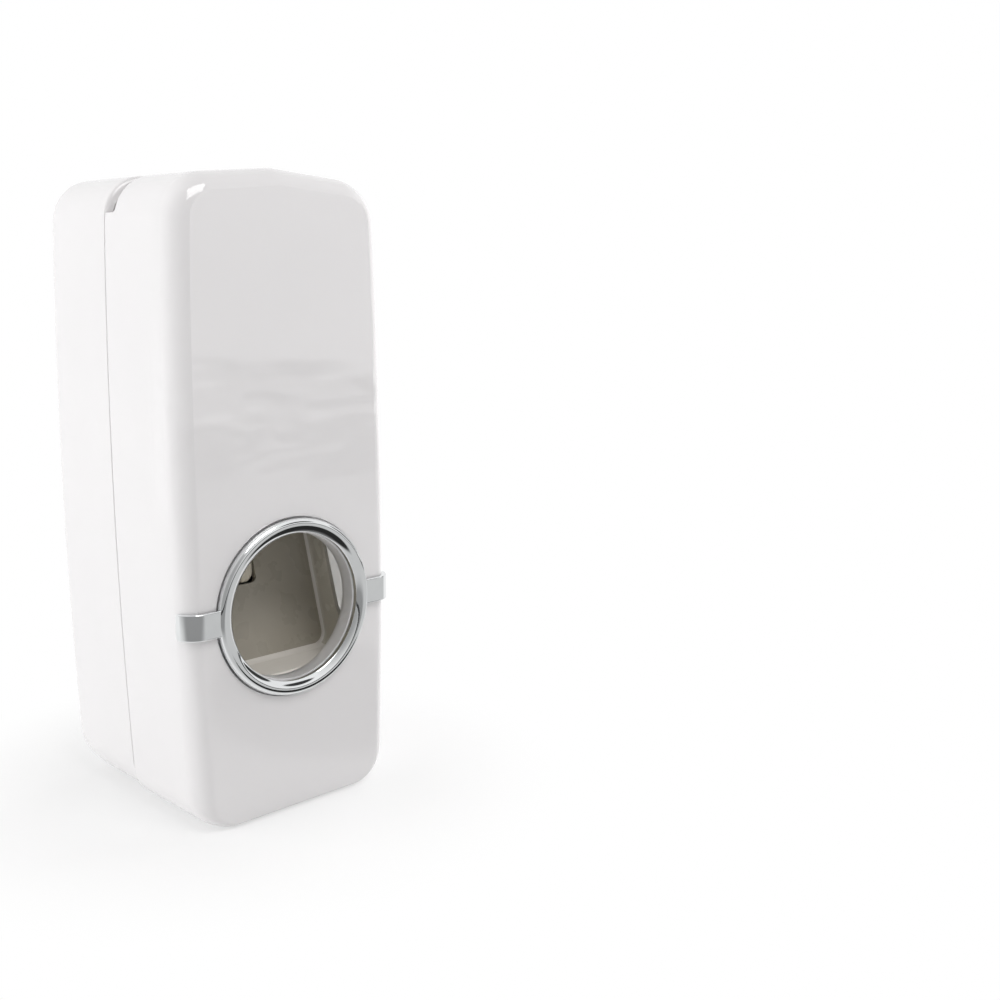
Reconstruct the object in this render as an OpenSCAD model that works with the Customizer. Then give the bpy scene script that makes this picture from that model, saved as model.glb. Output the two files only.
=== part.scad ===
/* [Case] */
// Width of the case at its widest height
case_w = 60.8; // [58:0.1:70]
// Depth of the case without the port ring
case_d = 60.8; // [58:0.1:68]
// Height of the case at the ridge of its roof
case_h = 157; // [150:0.5:175]
// Wall of both shells
wall = 2.2; // [1.8:0.1:2.5]
// How far each side draws in from its widest height to the foot
side_bulge = 2.2; // [0:0.1:3]
// Height at which the case is widest
belly_z = 82; // [70:1:95]
// Fall of the roof on each side of the ridge, in degrees
roof_slope = 5; // [2:0.5:8]
// Radius of the upper corners
top_r = 11; // [9:0.5:14]
// Radius of the front cover's lower corners
front_bottom_r = 10; // [8:0.5:12]
// Radius of the rear case's lower corners
rear_bottom_r = 12; // [10:0.5:14]
// How far the top of the front panel leans back
front_lean = 0.7; // [0:0.1:1.5]
// How far the top of the rear wall leans forward
rear_lean = 1.4; // [0:0.1:2]
// How far behind the middle the two shells part
parting_back = 0.5; // [0:0.1:2]
// Open seam between the two shells
seam_gap = 0.2; // [0.1:0.05:0.4]

/* [Shell edges] */
// Inset of the front panel's border from the sides and top
edge_in = 4.3; // [3:0.1:5]
// Depth of the round in front of the sides
edge_deep = 6; // [4.5:0.1:8]
// Angle at which the round meets the front panel in a crease
crease_angle = 78; // [65:1:88]
// Rise of the front panel's lower border
foot_in = 1.3; // [0.8:0.1:2]
// Radius of the rear wall's edges
rear_edge_r = 3; // [2.4:0.1:4]
// Rise of the rear wall's lower border
heel_rise = 4; // [2.5:0.5:6]
// Depth over which the underside rises to the rear wall
heel_deep = 11; // [8:0.5:14]

/* [Seam] */
// Length of the rear case's tongue inside the front cover
tongue_len = 3; // [2:0.5:4]
// Thickness of the tongue
tongue_t = 1.1; // [0.9:0.1:1.5]
// Gap between the tongue and the front cover
tongue_gap = 0.25; // [0.15:0.05:0.4]
// Radius of the locating pegs
peg_r = 1.2; // [1:0.1:1.6]
// Running gap of the locating pegs
peg_gap = 0.05; // [0.03:0.01:0.1]
// Length of the locating pegs ahead of the seam
peg_len = 9; // [7:0.5:12]
// Height of the lower pair of locating pegs
peg_low_z = 16; // [14:1:20]
// Height of the upper pair of locating pegs
peg_high_z = 134; // [125:1:138]

/* [Tail slot] */
// Width of the slot for the tail of the tube
slot_w = 4.6; // [4.4:0.1:6]
// How far the slot reaches down each side from the ridge
slot_drop = 10.5; // [8:0.5:13]
// Width of the slot between the tongue's ends
slot_open_w = 46; // [40:1:50]

/* [Port] */
// Height of the port's centre
port_z = 52.2; // [50:0.1:55]
// Outer radius of the port ring
ring_r = 22.1; // [21.5:0.1:23]
// Inner radius of the port ring
ring_in_r = 18.5; // [17.5:0.1:19]
// How far the port ring stands in front of the case
ring_proud = 1.5; // [1.2:0.1:2.5]
// Wall of the ring's tail inside the cover
ring_tail_t = 1.1; // [0.8:0.1:1.4]
// Length of the ring's tail behind the front of the case
ring_tail_len = 2; // [1.5:0.1:2]
// Depth of the ring's seat in the front panel
ring_sink = 0.35; // [0.2:0.05:0.6]
// Gap round the ring where it sits in the cover
ring_fit = 0.1; // [0.05:0.05:0.2]
// Radius of the cover's collar behind the ring
collar_r = 18.2; // [17:0.1:18.4]
// How far the collar reaches in from the front of the case
collar_deep = 4.4; // [4:0.1:7]
// Height of the ring's two ears
ear_h = 6.5; // [5:0.1:8]
// Thickness of the ears
ear_t = 1.4; // [1:0.1:1.8]
// Length of the ears along the sides of the case
ear_back = 4.4; // [3:0.1:7]

/* [Push scoop] */
// Wall at the scoop's sides and ledge
scoop_wall = 1.5; // [1.2:0.1:1.8]
// Thickness of the scoop's plate
plate_t = 1.6; // [1.4:0.1:2]
// Lean of the scoop at rest, in degrees
scoop_lean = 15.7; // [14:0.1:17]
// Swing of the scoop until it meets its rear stops, in degrees
scoop_travel = 12; // [9:0.5:13]
// Distance from the pivot down to the scoop's ledge
scoop_len = 44.9; // [43:0.1:47]
// Depth of the scoop's side walls at the top
scoop_deep = 5.9; // [5:0.1:7]
// Further depth of the scoop at its ledge
scoop_flare = 0.7; // [0:0.1:1.5]
// Inner radius of the scoop's lower corners
scoop_corner = 4.4; // [3:0.1:6]
// Half width of the window for the nozzle
window_half = 4.8; // [4.6:0.1:5.5]
// Gap under the nozzle's mouth in the window
window_drop = 1.2; // [1:0.1:2]

/* [Pivot] */
// Height of the pivot
pivot_z = 77; // [76:0.1:78]
// How far the pivot lies behind the middle of the case
pivot_back = 0.44; // [0:0.01:1]
// How far the plate's face lies in front of the pivot
plate_set = 2.77; // [2.5:0.01:3]
// Radius of the pivot pins
pin_r = 1.5; // [1.3:0.1:1.8]
// Running gap of the pins in the knuckles
pin_gap = 0.05; // [0.03:0.01:0.1]
// Radius of the knuckles
knuckle_r = 3.2; // [3:0.1:3.6]
// Gap between the pump head and the scoop's arms
arm_gap = 3.5; // [3:0.1:4]
// Gap between the scoop and the chassis at each side
side_gap = 0.5; // [0.3:0.1:0.8]

/* [Chassis] */
// Gap between the tongue and the outside of the chassis cheeks
cheek_play = 1.34; // [1.2:0.02:2]
// Distance of the chassis plate's face behind the middle of the case
chassis_back = 14; // [13:0.5:16]
// Thickness of the chassis
chassis_t = 2; // [1.8:0.1:2.2]
// Height of the chassis plate's lower edge
chassis_low_z = 26; // [22:1:27]
// Length of the shelf in front of the middle of the case
shelf_front = 13.5; // [13:0.5:18]

/* [Pump] */
// Half width of the pump head
head_half = 9.5; // [9:0.1:10]
// Height of the pump head's underside
head_low_z = 68; // [67.8:0.1:68.5]
// Height of the pump head
head_h = 16; // [15.5:0.1:17]
// Radius of the pump chamber
chamber_r = 5; // [4.5:0.1:5.2]
// Radius of the channel to the bulb
channel_r = 2.5; // [2:0.1:3]
// Radius of the pump bulb
bulb_r = 8.5; // [7.5:0.1:9]
// Wall of the pump bulb
bulb_wall = 1.2; // [1:0.1:1.5]
// Length of the bulb's straight skirt with its flange
skirt_len = 2.5; // [2.2:0.1:3]
// Thickness of the bulb's flange
flange_t = 1.5; // [1.2:0.1:1.8]
// Width of the bulb's flange round the skirt
flange_w = 2.4; // [2:0.1:2.6]
// Distance from the pivot down to the scoop's press boss
boss_down = 34; // [33:0.5:35]
// Height of the press boss on the back of the scoop
boss_h = 2; // [1.5:0.1:2.5]
// Gap between the press boss and the bulb at rest
bulb_gap = 0.3; // [0.2:0.05:0.4]

/* [Nozzle] */
// Radius of the nozzle
nozzle_r = 3; // [2.6:0.1:3.2]
// Radius of the bore in the nozzle
nozzle_bore_r = 1.7; // [1.4:0.1:1.9]
// Height of the nozzle's mouth
nozzle_low_z = 54.3; // [53.5:0.1:56]
// How far the nozzle stands in front of the middle of the case
nozzle_front = 6.5; // [6:0.1:7]

/* [Springs] */
// Distance of each return spring in from the scoop's inner side
spring_in = 4.5; // [4.2:0.1:5]
// Distance from the pivot down to the springs
spring_down = 28; // [27:0.5:29]
// Mean radius of the springs
spring_r = 2.6; // [2.2:0.1:2.8]
// Radius of the spring wire
wire_r = 0.35; // [0.25:0.05:0.45]
// Turns of each spring
spring_turns = 8; // [6:1:10]

/* [Tube socket] */
// Bore that grips the neck of the tube
neck_r = 6.2; // [5.5:0.1:6.6]
// Depth of the bore for the neck
neck_deep = 7; // [6:0.5:9]
// Wall of the rubber seal round the neck
seal_wall = 2.4; // [2:0.1:2.8]
// Distance of the tube's axis in front of the middle of the case
tube_front = 2; // [1.5:0.1:2.5]
// Wall of the socket's cup
cup_wall = 1.4; // [1.2:0.1:1.8]
// Radius of the neck's way through to the pump
inlet_r = 3.5; // [3:0.1:4]

/* [Fasteners] */
// Radius of the screws' shanks
screw_r = 1.3; // [1.1:0.1:1.5]
// Radius of the screws' heads
screw_head_r = 2.6; // [2.3:0.1:2.8]
// Height of the screws' heads
screw_head_h = 1.7; // [1.4:0.1:2]
// Length of the screws
screw_len = 8; // [6:0.5:9]
// Radius of the screw posts in the rear case
post_r = 3.6; // [3.2:0.1:4]
// Distance of the screw posts in from the outside of the chassis
post_in = 6.5; // [6:0.1:7]
// Distance between the two wall hooks' keyholes
key_spacing = 28; // [20:1:36]
// Height of the keyholes
key_z = 120; // [110:1:126]
// Radius of the keyholes' round heads
key_head_r = 4.5; // [4:0.1:5]
// Half width of the keyholes' slots
key_slot_r = 2.25; // [1.8:0.05:2.4]
// Length of the keyholes' slots
key_slot_len = 9; // [7:0.5:11]

/* [Hidden] */
$fn = 64;

// The ring stands in front of the case, so the case's middle lies half of that behind the origin.
mid_y = ring_proud / 2;
front_y = mid_y - case_d / 2;
back_y = mid_y + case_d / 2;
parting_y = mid_y + parting_back;
cover_end_y = parting_y - seam_gap / 2;
case_start_y = parting_y + seam_gap / 2;
tongue_end_y = parting_y - tongue_len;
slot_front_y = case_start_y - slot_w;

// Where the leaning front panel and the leaning rear wall lie at a height.
function face_y(z) = front_y + front_lean * z / case_h;
function rear_y(z) = back_y - rear_lean * z / case_h;

// Half width of the case at a height.
function half_w(z) = case_w / 2 - side_bulge * pow((z - belly_z) / belly_z, 2);

function arc(x, z, r, from, to, steps) = [
  for (i = [0:steps])
    let (a = from + (to - from) * i / steps)
      [x + r * cos(a), z + r * sin(a)]
];

corner_steps = 12;
side_steps = 6;

// Right half of the case's outline seen from the front, drawn in by inset and raised at the foot.
function half_outline(inset, lift, foot_r) =
  let (
    low_r = foot_r - 0.7 * inset,
    low_z = lift + low_r,
    high_r = top_r - inset,
    high_x = half_w(case_h - top_r) - inset - high_r,
    ridge_z = case_h - inset / cos(roof_slope),
    high_z = ridge_z - high_x * tan(roof_slope) - high_r / cos(roof_slope)
  )
  concat(
    arc(half_w(low_z) - inset - low_r, low_z, low_r, -90, 0, corner_steps),
    [
      for (i = [1:side_steps - 1])
        let (z = low_z + (high_z - low_z) * i / side_steps)
          [half_w(z) - inset, z]
    ],
    arc(high_x, high_z, high_r, 0, 90 - roof_slope, corner_steps),
    [[0, ridge_z]]
  );

function outline(inset, lift, foot_r) =
  let (right = half_outline(inset, lift, foot_r), last = len(right) - 2)
    concat(right, [for (i = [last:-1:0]) [-right[i][0], right[i][1]]]);

// One ring of a shell: the outline stood up at y, leaning by a distance over the case's height.
function ring(y, inset, lift, foot_r, lean) = [
  for (p = outline(inset, lift, foot_r))
    [p[0], y + lean * p[1] / case_h, p[1]]
];

// Solid between rings with equal numbers of points, each ring further back than the one before.
module loft(rings) {
  count = len(rings[0]);
  polyhedron(
    points = [for (r = rings) for (p = r) p],
    faces = concat(
      [[for (i = [count - 1:-1:0]) i]],
      [
        for (k = [0:len(rings) - 2], i = [0:count - 1], half = [0, 1])
          let (a = k * count + i, b = k * count + (i + 1) % count)
            half == 0 ? [a, b, b + count] : [a, b + count, a + count]
      ],
      [[for (i = [0:count - 1]) (len(rings) - 1) * count + i]]
    )
  );
}

// Rod along Y from y0 to y1.
module rod_y(r, y0, y1, x = 0, z = 0) {
  translate([x, y0, z])
    rotate([-90, 0, 0])
      cylinder(h = y1 - y0, r = r);
}

// Rod upwards from z0 to z1.
module rod_z(r, z0, z1, x = 0, y = 0) {
  translate([x, y, z0])
    cylinder(h = z1 - z0, r = r);
}

// Rod along X from x0 to x1.
module rod_x(r, x0, x1, y = 0, z = 0) {
  translate([x0, y, z])
    rotate([0, 90, 0])
      cylinder(h = x1 - x0, r = r);
}

// Block between two corners.
module block(low, high) {
  translate(low)
    cube(high - low);
}

// Children at the left and the right, the left one mirrored.
module both_sides() {
  children();
  mirror([1, 0, 0])
    children();
}

// How far a cutting solid reaches past what it cuts.
cut = 1;
// How deep two joined solids of one piece reach into each other.
stub = 0.02;

// Round of the front panel's border: inset and depth at a share of the turn.
function edge_inset(t) = edge_in * (1 - cos(crease_angle * t)) / (1 - cos(crease_angle));
function edge_depth(t) = edge_deep * (1 - sin(crease_angle * t) / sin(crease_angle));
edge_steps = 8;

module cover_outside() {
  loft(concat(
    [
      for (i = [edge_steps:-1:0])
        let (t = i / edge_steps, s = edge_inset(t) / edge_in)
          ring(front_y + edge_depth(t), edge_inset(t), foot_in * s, front_bottom_r, front_lean)
    ],
    [ring(cover_end_y, 0, 0, front_bottom_r, 0)]
  ));
}

module cover_inside() {
  loft([
    ring(front_y + wall, edge_in + wall / 2, wall, front_bottom_r, front_lean),
    ring(front_y + wall + edge_deep / 6, edge_in / 3 + wall, wall, front_bottom_r, front_lean),
    ring(front_y + wall + edge_deep / 2, wall + edge_in / 12, wall, front_bottom_r, front_lean),
    ring(front_y + wall + edge_deep, wall, wall, front_bottom_r, front_lean),
    ring(cover_end_y + cut, wall, wall, front_bottom_r, 0)
  ]);
}

ring_front_y = front_y - ring_proud;
ring_seat_y = face_y(port_z) + ring_sink;
ring_tail_y = front_y + ring_tail_len;
ring_tail_r = ring_in_r + ring_tail_t;
collar_y = front_y + collar_deep;
collar_wall = 1.6;

// Centres of the locating pegs beside the side walls.
tongue_inset = wall + tongue_gap + tongue_t;
function peg_x(z) = half_w(z) - tongue_inset - peg_r;
peg_boss_r = peg_r + 1.4;
peg_root_len = 8;
peg_end_gap = 0.5;
peg_heights = [peg_low_z, peg_high_z];

module front_cover() {
  color("white")
    difference() {
      union() {
        difference() {
          cover_outside();
          cover_inside();
        }
        rod_y(ring_tail_r + ring_fit + collar_wall, front_y + wall / 2, collar_y, 0, port_z);
        for (z = peg_heights)
          both_sides()
            cover_peg_boss(z);
        both_sides()
          cover_rib();
      }
      rod_y(collar_r, front_y - cut, collar_y + cut, 0, port_z);
      rod_y(ring_tail_r + ring_fit, front_y - cut, ring_tail_y + ring_fit, 0, port_z);
      rod_y(ring_r + ring_fit, front_y - cut, ring_seat_y + ring_fit, 0, port_z);
      for (z = peg_heights)
        both_sides()
          rod_y(peg_r + peg_gap, tongue_end_y - peg_len - cut, cover_end_y + cut, peg_x(z), z);
      tail_slot();
    }
}

// Boss ahead of the tongue that takes a locating peg, with a web to the side wall.
module cover_peg_boss(z) {
  start = tongue_end_y - peg_len;
  end = tongue_end_y - peg_end_gap;
  rod_y(peg_boss_r, start, end, peg_x(z), z);
  block([peg_x(z), start, z - peg_boss_r / 2], [half_w(z) - wall / 2, end, z + peg_boss_r / 2]);
}

rib_t = 1.2;
rib_deep = 2.5;
rib_margin = 8;

// Stiffening rib up the inside of the front panel.
module cover_rib() {
  x = case_w / 5;
  low = port_z + ring_r + rib_margin;
  high = case_h - top_r - rib_margin;
  block(
    [x - rib_t / 2, face_y(low) + wall / 2, low],
    [x + rib_t / 2, face_y(high) + wall + rib_deep, high]
  );
}

// Slot across the roof in the cover's rear edge, with round ends on the sides.
module tail_slot() {
  end_r = slot_w / 4;
  low_z = case_h - slot_drop;
  block([-case_w, slot_front_y, low_z + end_r], [case_w, cover_end_y + cut, case_h + cut]);
  block([-case_w, slot_front_y + end_r, low_z], [case_w, cover_end_y + cut, case_h]);
  rod_x(end_r, -case_w, case_w, slot_front_y + end_r, low_z + end_r);
}

bead_r = 0.6;
bead_set = 0.2;
groove_w = 0.3;
ring_round = 0.5;
band_in_r = ring_in_r + 2 * bead_r + groove_w;

// Section of the port ring: radius, then distance behind its front.
function ring_section() = concat(
  arc(ring_in_r + bead_r, bead_r + bead_set, bead_r, 180, 350, 10),
  [
    [band_in_r - groove_w / 3, bead_r + groove_w],
    [band_in_r, groove_w],
    [band_in_r + groove_w, groove_w / 3]
  ],
  arc(ring_r - ring_round, ring_round, ring_round, 270, 360, 5),
  [
    [ring_r, ring_seat_y - ring_front_y],
    [ring_tail_r, ring_seat_y - ring_front_y],
    [ring_tail_r, ring_tail_y - ring_front_y],
    [ring_in_r, ring_tail_y - ring_front_y]
  ]
);

// Overlap of each ear's root with the ring's band.
ear_root = 1.5;

// Path round the cover's front edge at the port's height, held off the wall by a distance.
function ear_path(off) =
  let (w = half_w(port_z), y = face_y(port_z))
    concat(
      [[ring_r - ear_root, y - off]],
      [
        for (i = [edge_steps:-1:0])
          let (t = i / edge_steps)
            [
              w - edge_inset(t) + off * cos(90 * t),
              y + edge_depth(t) - off * sin(90 * t)
            ]
      ],
      [[w + off, y + edge_deep + ear_back - edge_deep / 3]]
    );

module ring_ear() {
  inner = ear_path(ring_fit);
  outer = ear_path(ring_fit + ear_t);
  translate([0, 0, port_z - ear_h / 2])
    linear_extrude(height = ear_h)
      polygon(concat(outer, [for (i = [len(inner) - 1:-1:0]) inner[i]]));
}

module port_ring() {
  color("silver")
    union() {
      translate([0, ring_front_y, port_z])
        rotate([-90, 0, 0])
          rotate_extrude($fn = 96)
            polygon(ring_section());
      both_sides()
        ring_ear();
    }
}

seam_chamfer = 0.3;
seam_chamfer_y = case_start_y + 2 * seam_chamfer;

module case_outside() {
  loft(concat(
    [
      ring(case_start_y, seam_chamfer, 0, rear_bottom_r, 0),
      ring(seam_chamfer_y, 0, 0, rear_bottom_r, 0)
    ],
    [
      for (i = [0:edge_steps])
        let (
          t = i / edge_steps,
          y = back_y - heel_deep + (heel_deep - rear_edge_r) * t,
          s = (y - back_y + heel_deep) / heel_deep
        )
          ring(y, 0, heel_rise * (1 - sqrt(1 - s * s)), rear_bottom_r, -rear_lean)
    ],
    [
      for (a = [15:15:90])
        let (
          y = back_y - rear_edge_r + rear_edge_r * sin(a),
          s = (y - back_y + heel_deep) / heel_deep
        )
          ring(y, rear_edge_r * (1 - cos(a)), heel_rise * (1 - sqrt(1 - s * s)), rear_bottom_r, -rear_lean)
    ]
  ));
}

module case_inside() {
  inner_r = max(rear_edge_r - wall / 2, 0.5);
  loft([
    ring(case_start_y - cut, wall, wall, rear_bottom_r, 0),
    ring(back_y - heel_deep, wall, wall, rear_bottom_r, -rear_lean),
    ring(back_y - wall - inner_r, wall, wall + heel_rise / 2, rear_bottom_r, -rear_lean),
    ring(back_y - wall, wall + inner_r, wall + heel_rise, rear_bottom_r, -rear_lean)
  ]);
}

// Band of the case's outline between two insets, from y0 to y1.
module band(outer_inset, inner_inset, y0, y1) {
  translate([0, y1, 0])
    rotate([90, 0, 0])
      linear_extrude(height = y1 - y0)
        difference() {
          polygon(outline(outer_inset, outer_inset, rear_bottom_r));
          polygon(outline(inner_inset, inner_inset, rear_bottom_r));
        }
}

chassis_y = mid_y + chassis_back;
chassis_end_y = chassis_y + chassis_t;
outer_x = half_w(pivot_z) - tongue_inset - cheek_play;
chassis_x = outer_x - chassis_t;
scoop_w = 2 * (chassis_x - side_gap - scoop_wall);
head_high_z = head_low_z + head_h;
shelf_gap = 0.3;
shelf_z = head_high_z + shelf_gap;
shelf_high_z = shelf_z + chassis_t;
post_x = outer_x - post_in;
post_edge = 1.5;
post_low_z = chassis_low_z + post_r + post_edge;
post_high_z = shelf_z - post_r - post_edge;
post_heights = [post_low_z, post_high_z];
screw_fit = 0.02;
screw_clear = 0.3;
post_hole_deep = screw_len + 1;

// Length of the tongue's root behind the seam.
tongue_root = 3;

// Tongue round the inside of the seam, open where the tail slot goes through the roof.
module case_tongue() {
  root_end_y = case_start_y + tongue_root;
  difference() {
    union() {
      band(wall + tongue_gap, tongue_inset, tongue_end_y, root_end_y);
      band(wall / 2, tongue_inset, seam_chamfer_y, root_end_y);
    }
    block(
      [-slot_open_w / 2, tongue_end_y - cut, case_h - slot_drop],
      [slot_open_w / 2, seam_chamfer_y, case_h]
    );
  }
}

gusset = 3;

// Screw posts with their gussets to the rear wall and to the side wall.
module case_posts() {
  for (z = post_heights)
    both_sides() {
      rod_y(post_r, chassis_end_y, rear_y(z) - wall / 2, post_x, z);
      block(
        [post_x - rib_t / 2, chassis_end_y + post_r, z - post_r - gusset],
        [post_x + rib_t / 2, rear_y(z) - wall / 2, z + post_r + gusset]
      );
      block(
        [post_x, chassis_end_y + post_r / 2, z - rib_t / 2],
        [half_w(z) - wall / 2, rear_y(z) - wall / 2, z + rib_t / 2]
      );
    }
}

// Root boss and peg on the rear case, each beside its side wall.
module case_peg(z) {
  rod_y(peg_boss_r, case_start_y, case_start_y + peg_root_len, peg_x(z), z);
  rod_y(peg_r, tongue_end_y - peg_len + peg_end_gap, case_start_y + cut, peg_x(z), z);
  block(
    [peg_x(z), seam_chamfer_y, z - peg_boss_r / 2],
    [half_w(z) - wall / 2, case_start_y + peg_root_len, z + peg_boss_r / 2]
  );
}

// Round hole for the head of a wall screw, with a slot above it for the shank.
module keyhole() {
  through = wall + rear_lean + 2 * cut;
  rod_y(key_head_r, back_y - through, back_y + cut, key_spacing / 2, key_z);
  rod_y(key_slot_r, back_y - through, back_y + cut, key_spacing / 2, key_z + key_slot_len);
  block(
    [key_spacing / 2 - key_slot_r, back_y - through, key_z],
    [key_spacing / 2 + key_slot_r, back_y + cut, key_z + key_slot_len]
  );
}

// Upright ribs and a cross rib on the inside of the rear wall.
module case_ribs() {
  rib_gap = 3;
  rib_x = key_spacing / 2 + key_head_r + rib_gap;
  cross_z = key_z - key_head_r - rib_gap;
  both_sides()
    block(
      [rib_x - rib_t / 2, rear_y(case_h) - wall - rib_deep, shelf_high_z + rib_gap],
      [rib_x + rib_t / 2, rear_y(case_h) - wall / 2, case_h - top_r - rib_gap]
    );
  block(
    [-rib_x, rear_y(cross_z) - wall - rib_deep, cross_z - rib_t / 2],
    [rib_x, rear_y(cross_z) - wall / 2, cross_z + rib_t / 2]
  );
}

module rear_case() {
  color("white")
    difference() {
      union() {
        difference() {
          case_outside();
          case_inside();
        }
        case_tongue();
        case_posts();
        case_ribs();
        for (z = peg_heights)
          both_sides()
            case_peg(z);
      }
      for (z = post_heights)
        both_sides()
          rod_y(screw_r + screw_fit, chassis_end_y - cut, chassis_end_y + post_hole_deep, post_x, z);
      both_sides()
        keyhole();
    }
}

pivot_y = mid_y + pivot_back;
pump_ear_edge = 1;
pump_ear_x = head_half + screw_head_r + 2 * pump_ear_edge;
pump_ear_drop = 5;
pump_ear_z = pivot_z - pump_ear_drop;
tube_y = mid_y - tube_front;

// Children in the scoop's own frame: the pivot at the origin and the plate upright.
module scoop_frame() {
  translate([0, pivot_y, pivot_z])
    rotate([-scoop_lean, 0, 0])
      children();
}

// Where a point of the case at rest lies along Y when the scoop has swung by its full travel.
function swung_y(y, z) = pivot_y + (y - pivot_y) * cos(scoop_travel) - (z - pivot_z) * sin(scoop_travel);

// Where a point of the scoop's frame lies in the case at rest.
function scoop_y(y, z) = pivot_y + y * cos(scoop_lean) + z * sin(scoop_lean);
function scoop_z(y, z) = pivot_z - y * sin(scoop_lean) + z * cos(scoop_lean);

plate_back = -plate_set + plate_t;
bulb_y = scoop_y(plate_back + boss_h + bulb_r + bulb_gap, -boss_down);
bulb_z = scoop_z(plate_back + boss_h + bulb_r + bulb_gap, -boss_down);
bulb_face_y = bulb_y + skirt_len;
flange_r = bulb_r + flange_w;
mount_edge = 1.2;
mount_r = flange_r + mount_edge;
mount_t = 4;
retainer_gap = 0.15;
retainer_wall = 1.2;
retainer_short = 0.4;
grip_half = 1;
grip_h = 0.5;
retainer_r = mount_r + retainer_gap + retainer_wall;
spring_boss_gap = 0.3;
spring_x = scoop_w / 2 - spring_in;
spring_z = scoop_z(plate_back, -spring_down);
spring_pad_h = 1.5;
spring_pad_y = scoop_y(plate_back, -spring_down) + spring_pad_h;
spring_seat_gap = 0.9;
spring_seat_r = spring_r + wire_r + spring_seat_gap;
spring_boss_r = spring_seat_r - spring_boss_gap;
spring_tube_wall = 0.8;
cheek_edge = 2;
cheek_boss_h = 0.4;
stop_t = 2;
stop_edge = 0.6;
stiffener_deep = 4;
shelf_corner = 8;
pad_t = 1;
pad_r = 1.8;
pad_down = 7;
pad_gap = 0.3;
pad_x = scoop_w / 2 - pad_r;
pad_y = -plate_set - pad_gap - pad_t;

// The spring tubes' front rims stop the scoop's spring bosses at the end of the travel.
stop_gap = 0.3;
spring_tube_y = swung_y(spring_pad_y, spring_z - spring_boss_r) + stop_gap;

// Side cheek that carries the pivot pin, with its stop for the scoop.
module chassis_cheek() {
  difference() {
    union() {
      translate([chassis_x, 0, 0])
        rotate([90, 0, 90])
          linear_extrude(height = chassis_t)
            polygon([
              [chassis_end_y, shelf_high_z],
              [pivot_y - knuckle_r - cheek_edge, shelf_high_z],
              [pivot_y - knuckle_r - cheek_edge, pivot_z - knuckle_r - 2 * cheek_edge],
              [pivot_y + knuckle_r, pivot_z - knuckle_r - 3 * cheek_edge],
              [chassis_end_y, pivot_z - 4 * knuckle_r - 3 * cheek_edge]
            ]);
      rod_x(knuckle_r, chassis_x, outer_x + cheek_boss_h, pivot_y, pivot_z);
      scoop_frame()
        block(
          [pad_x - pad_r, pad_y - stop_t, -pad_down - pad_r - stop_edge],
          [chassis_x + stub, pad_y, -pad_down + pad_r + stop_edge]
        );
    }
    rod_x(pin_r + screw_fit, chassis_x - cut, outer_x + cut, pivot_y, pivot_z);
  }
}

// Frame with cheeks for the scoop, a shelf for the socket, and spring tubes that stay clear of the bulb.
module chassis() {
  shelf_y = mid_y - shelf_front;
  color("gainsboro")
    difference() {
      union() {
        block([-outer_x, chassis_y, chassis_low_z], [outer_x, chassis_end_y, shelf_high_z]);
        block([-outer_x, shelf_y, shelf_z], [outer_x, chassis_end_y, shelf_high_z]);
        both_sides() {
          chassis_cheek();
          rod_y(spring_seat_r + spring_tube_wall, spring_tube_y, chassis_y + stub, spring_x, spring_z);
          block(
            [chassis_x, chassis_y - stiffener_deep, chassis_low_z],
            [outer_x, chassis_y + stub, pivot_z - 4 * knuckle_r - 2 * cheek_edge]
          );
        }
      }
      both_sides() {
        for (z = post_heights)
          rod_y(screw_r + screw_clear, chassis_y - cut, chassis_end_y + cut, post_x, z);
        rod_y(screw_r + screw_fit, chassis_y - cut, chassis_end_y + cut, pump_ear_x, pump_ear_z);
        rod_y(spring_seat_r, spring_tube_y - cut, chassis_y, spring_x, spring_z);
        rod_z(screw_r + screw_fit, shelf_z - cut, shelf_high_z + cut, socket_screw_x, tube_y);
        chassis_window();
        translate([outer_x, shelf_y, shelf_z - cut])
          rotate([0, 0, 45])
            cube([shelf_corner, shelf_corner, 2 * chassis_t + cut], center = true);
      }
      rod_z(spigot_r + 2 * spigot_gap, shelf_z - cut, shelf_high_z + cut, 0, tube_y);
      rod_y(retainer_r + grip_h + stop_gap, spring_tube_y - cut, bulb_face_y + mount_t, 0, bulb_z);
    }
}

// Lightening window in the chassis plate between the spring seat and the screws.
module chassis_window() {
  edge = 3;
  low = spring_z + spring_seat_r + edge;
  high = pump_ear_z - screw_head_r - edge;
  block([head_half + rib_t, chassis_y - cut, low], [chassis_x - edge, chassis_end_y + cut, high]);
}

// Screw whose head's underside lies at the origin and whose shank runs along +Z.
module screw(length) {
  recess = 0.6 * screw_head_r;
  recess_w = screw_head_r / 4;
  bevel = 0.4;
  difference() {
    union() {
      translate([0, 0, -screw_head_h])
        cylinder(h = screw_head_h, r1 = screw_head_r - bevel, r2 = screw_head_r);
      cylinder(h = length - screw_r, r = screw_r);
      translate([0, 0, length - screw_r])
        cylinder(h = screw_r, r1 = screw_r, r2 = screw_r / 3);
    }
    for (turn = [0, 90])
      rotate([0, 0, turn])
        translate([-recess, -recess_w / 2, -screw_head_h - cut])
          cube([2 * recess, recess_w, cut + screw_head_h / 2]);
  }
}

module chassis_screws() {
  color("silver")
    for (z = post_heights)
      both_sides()
        translate([post_x, chassis_y, z])
          rotate([-90, 0, 0])
            screw(screw_len);
}

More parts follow.
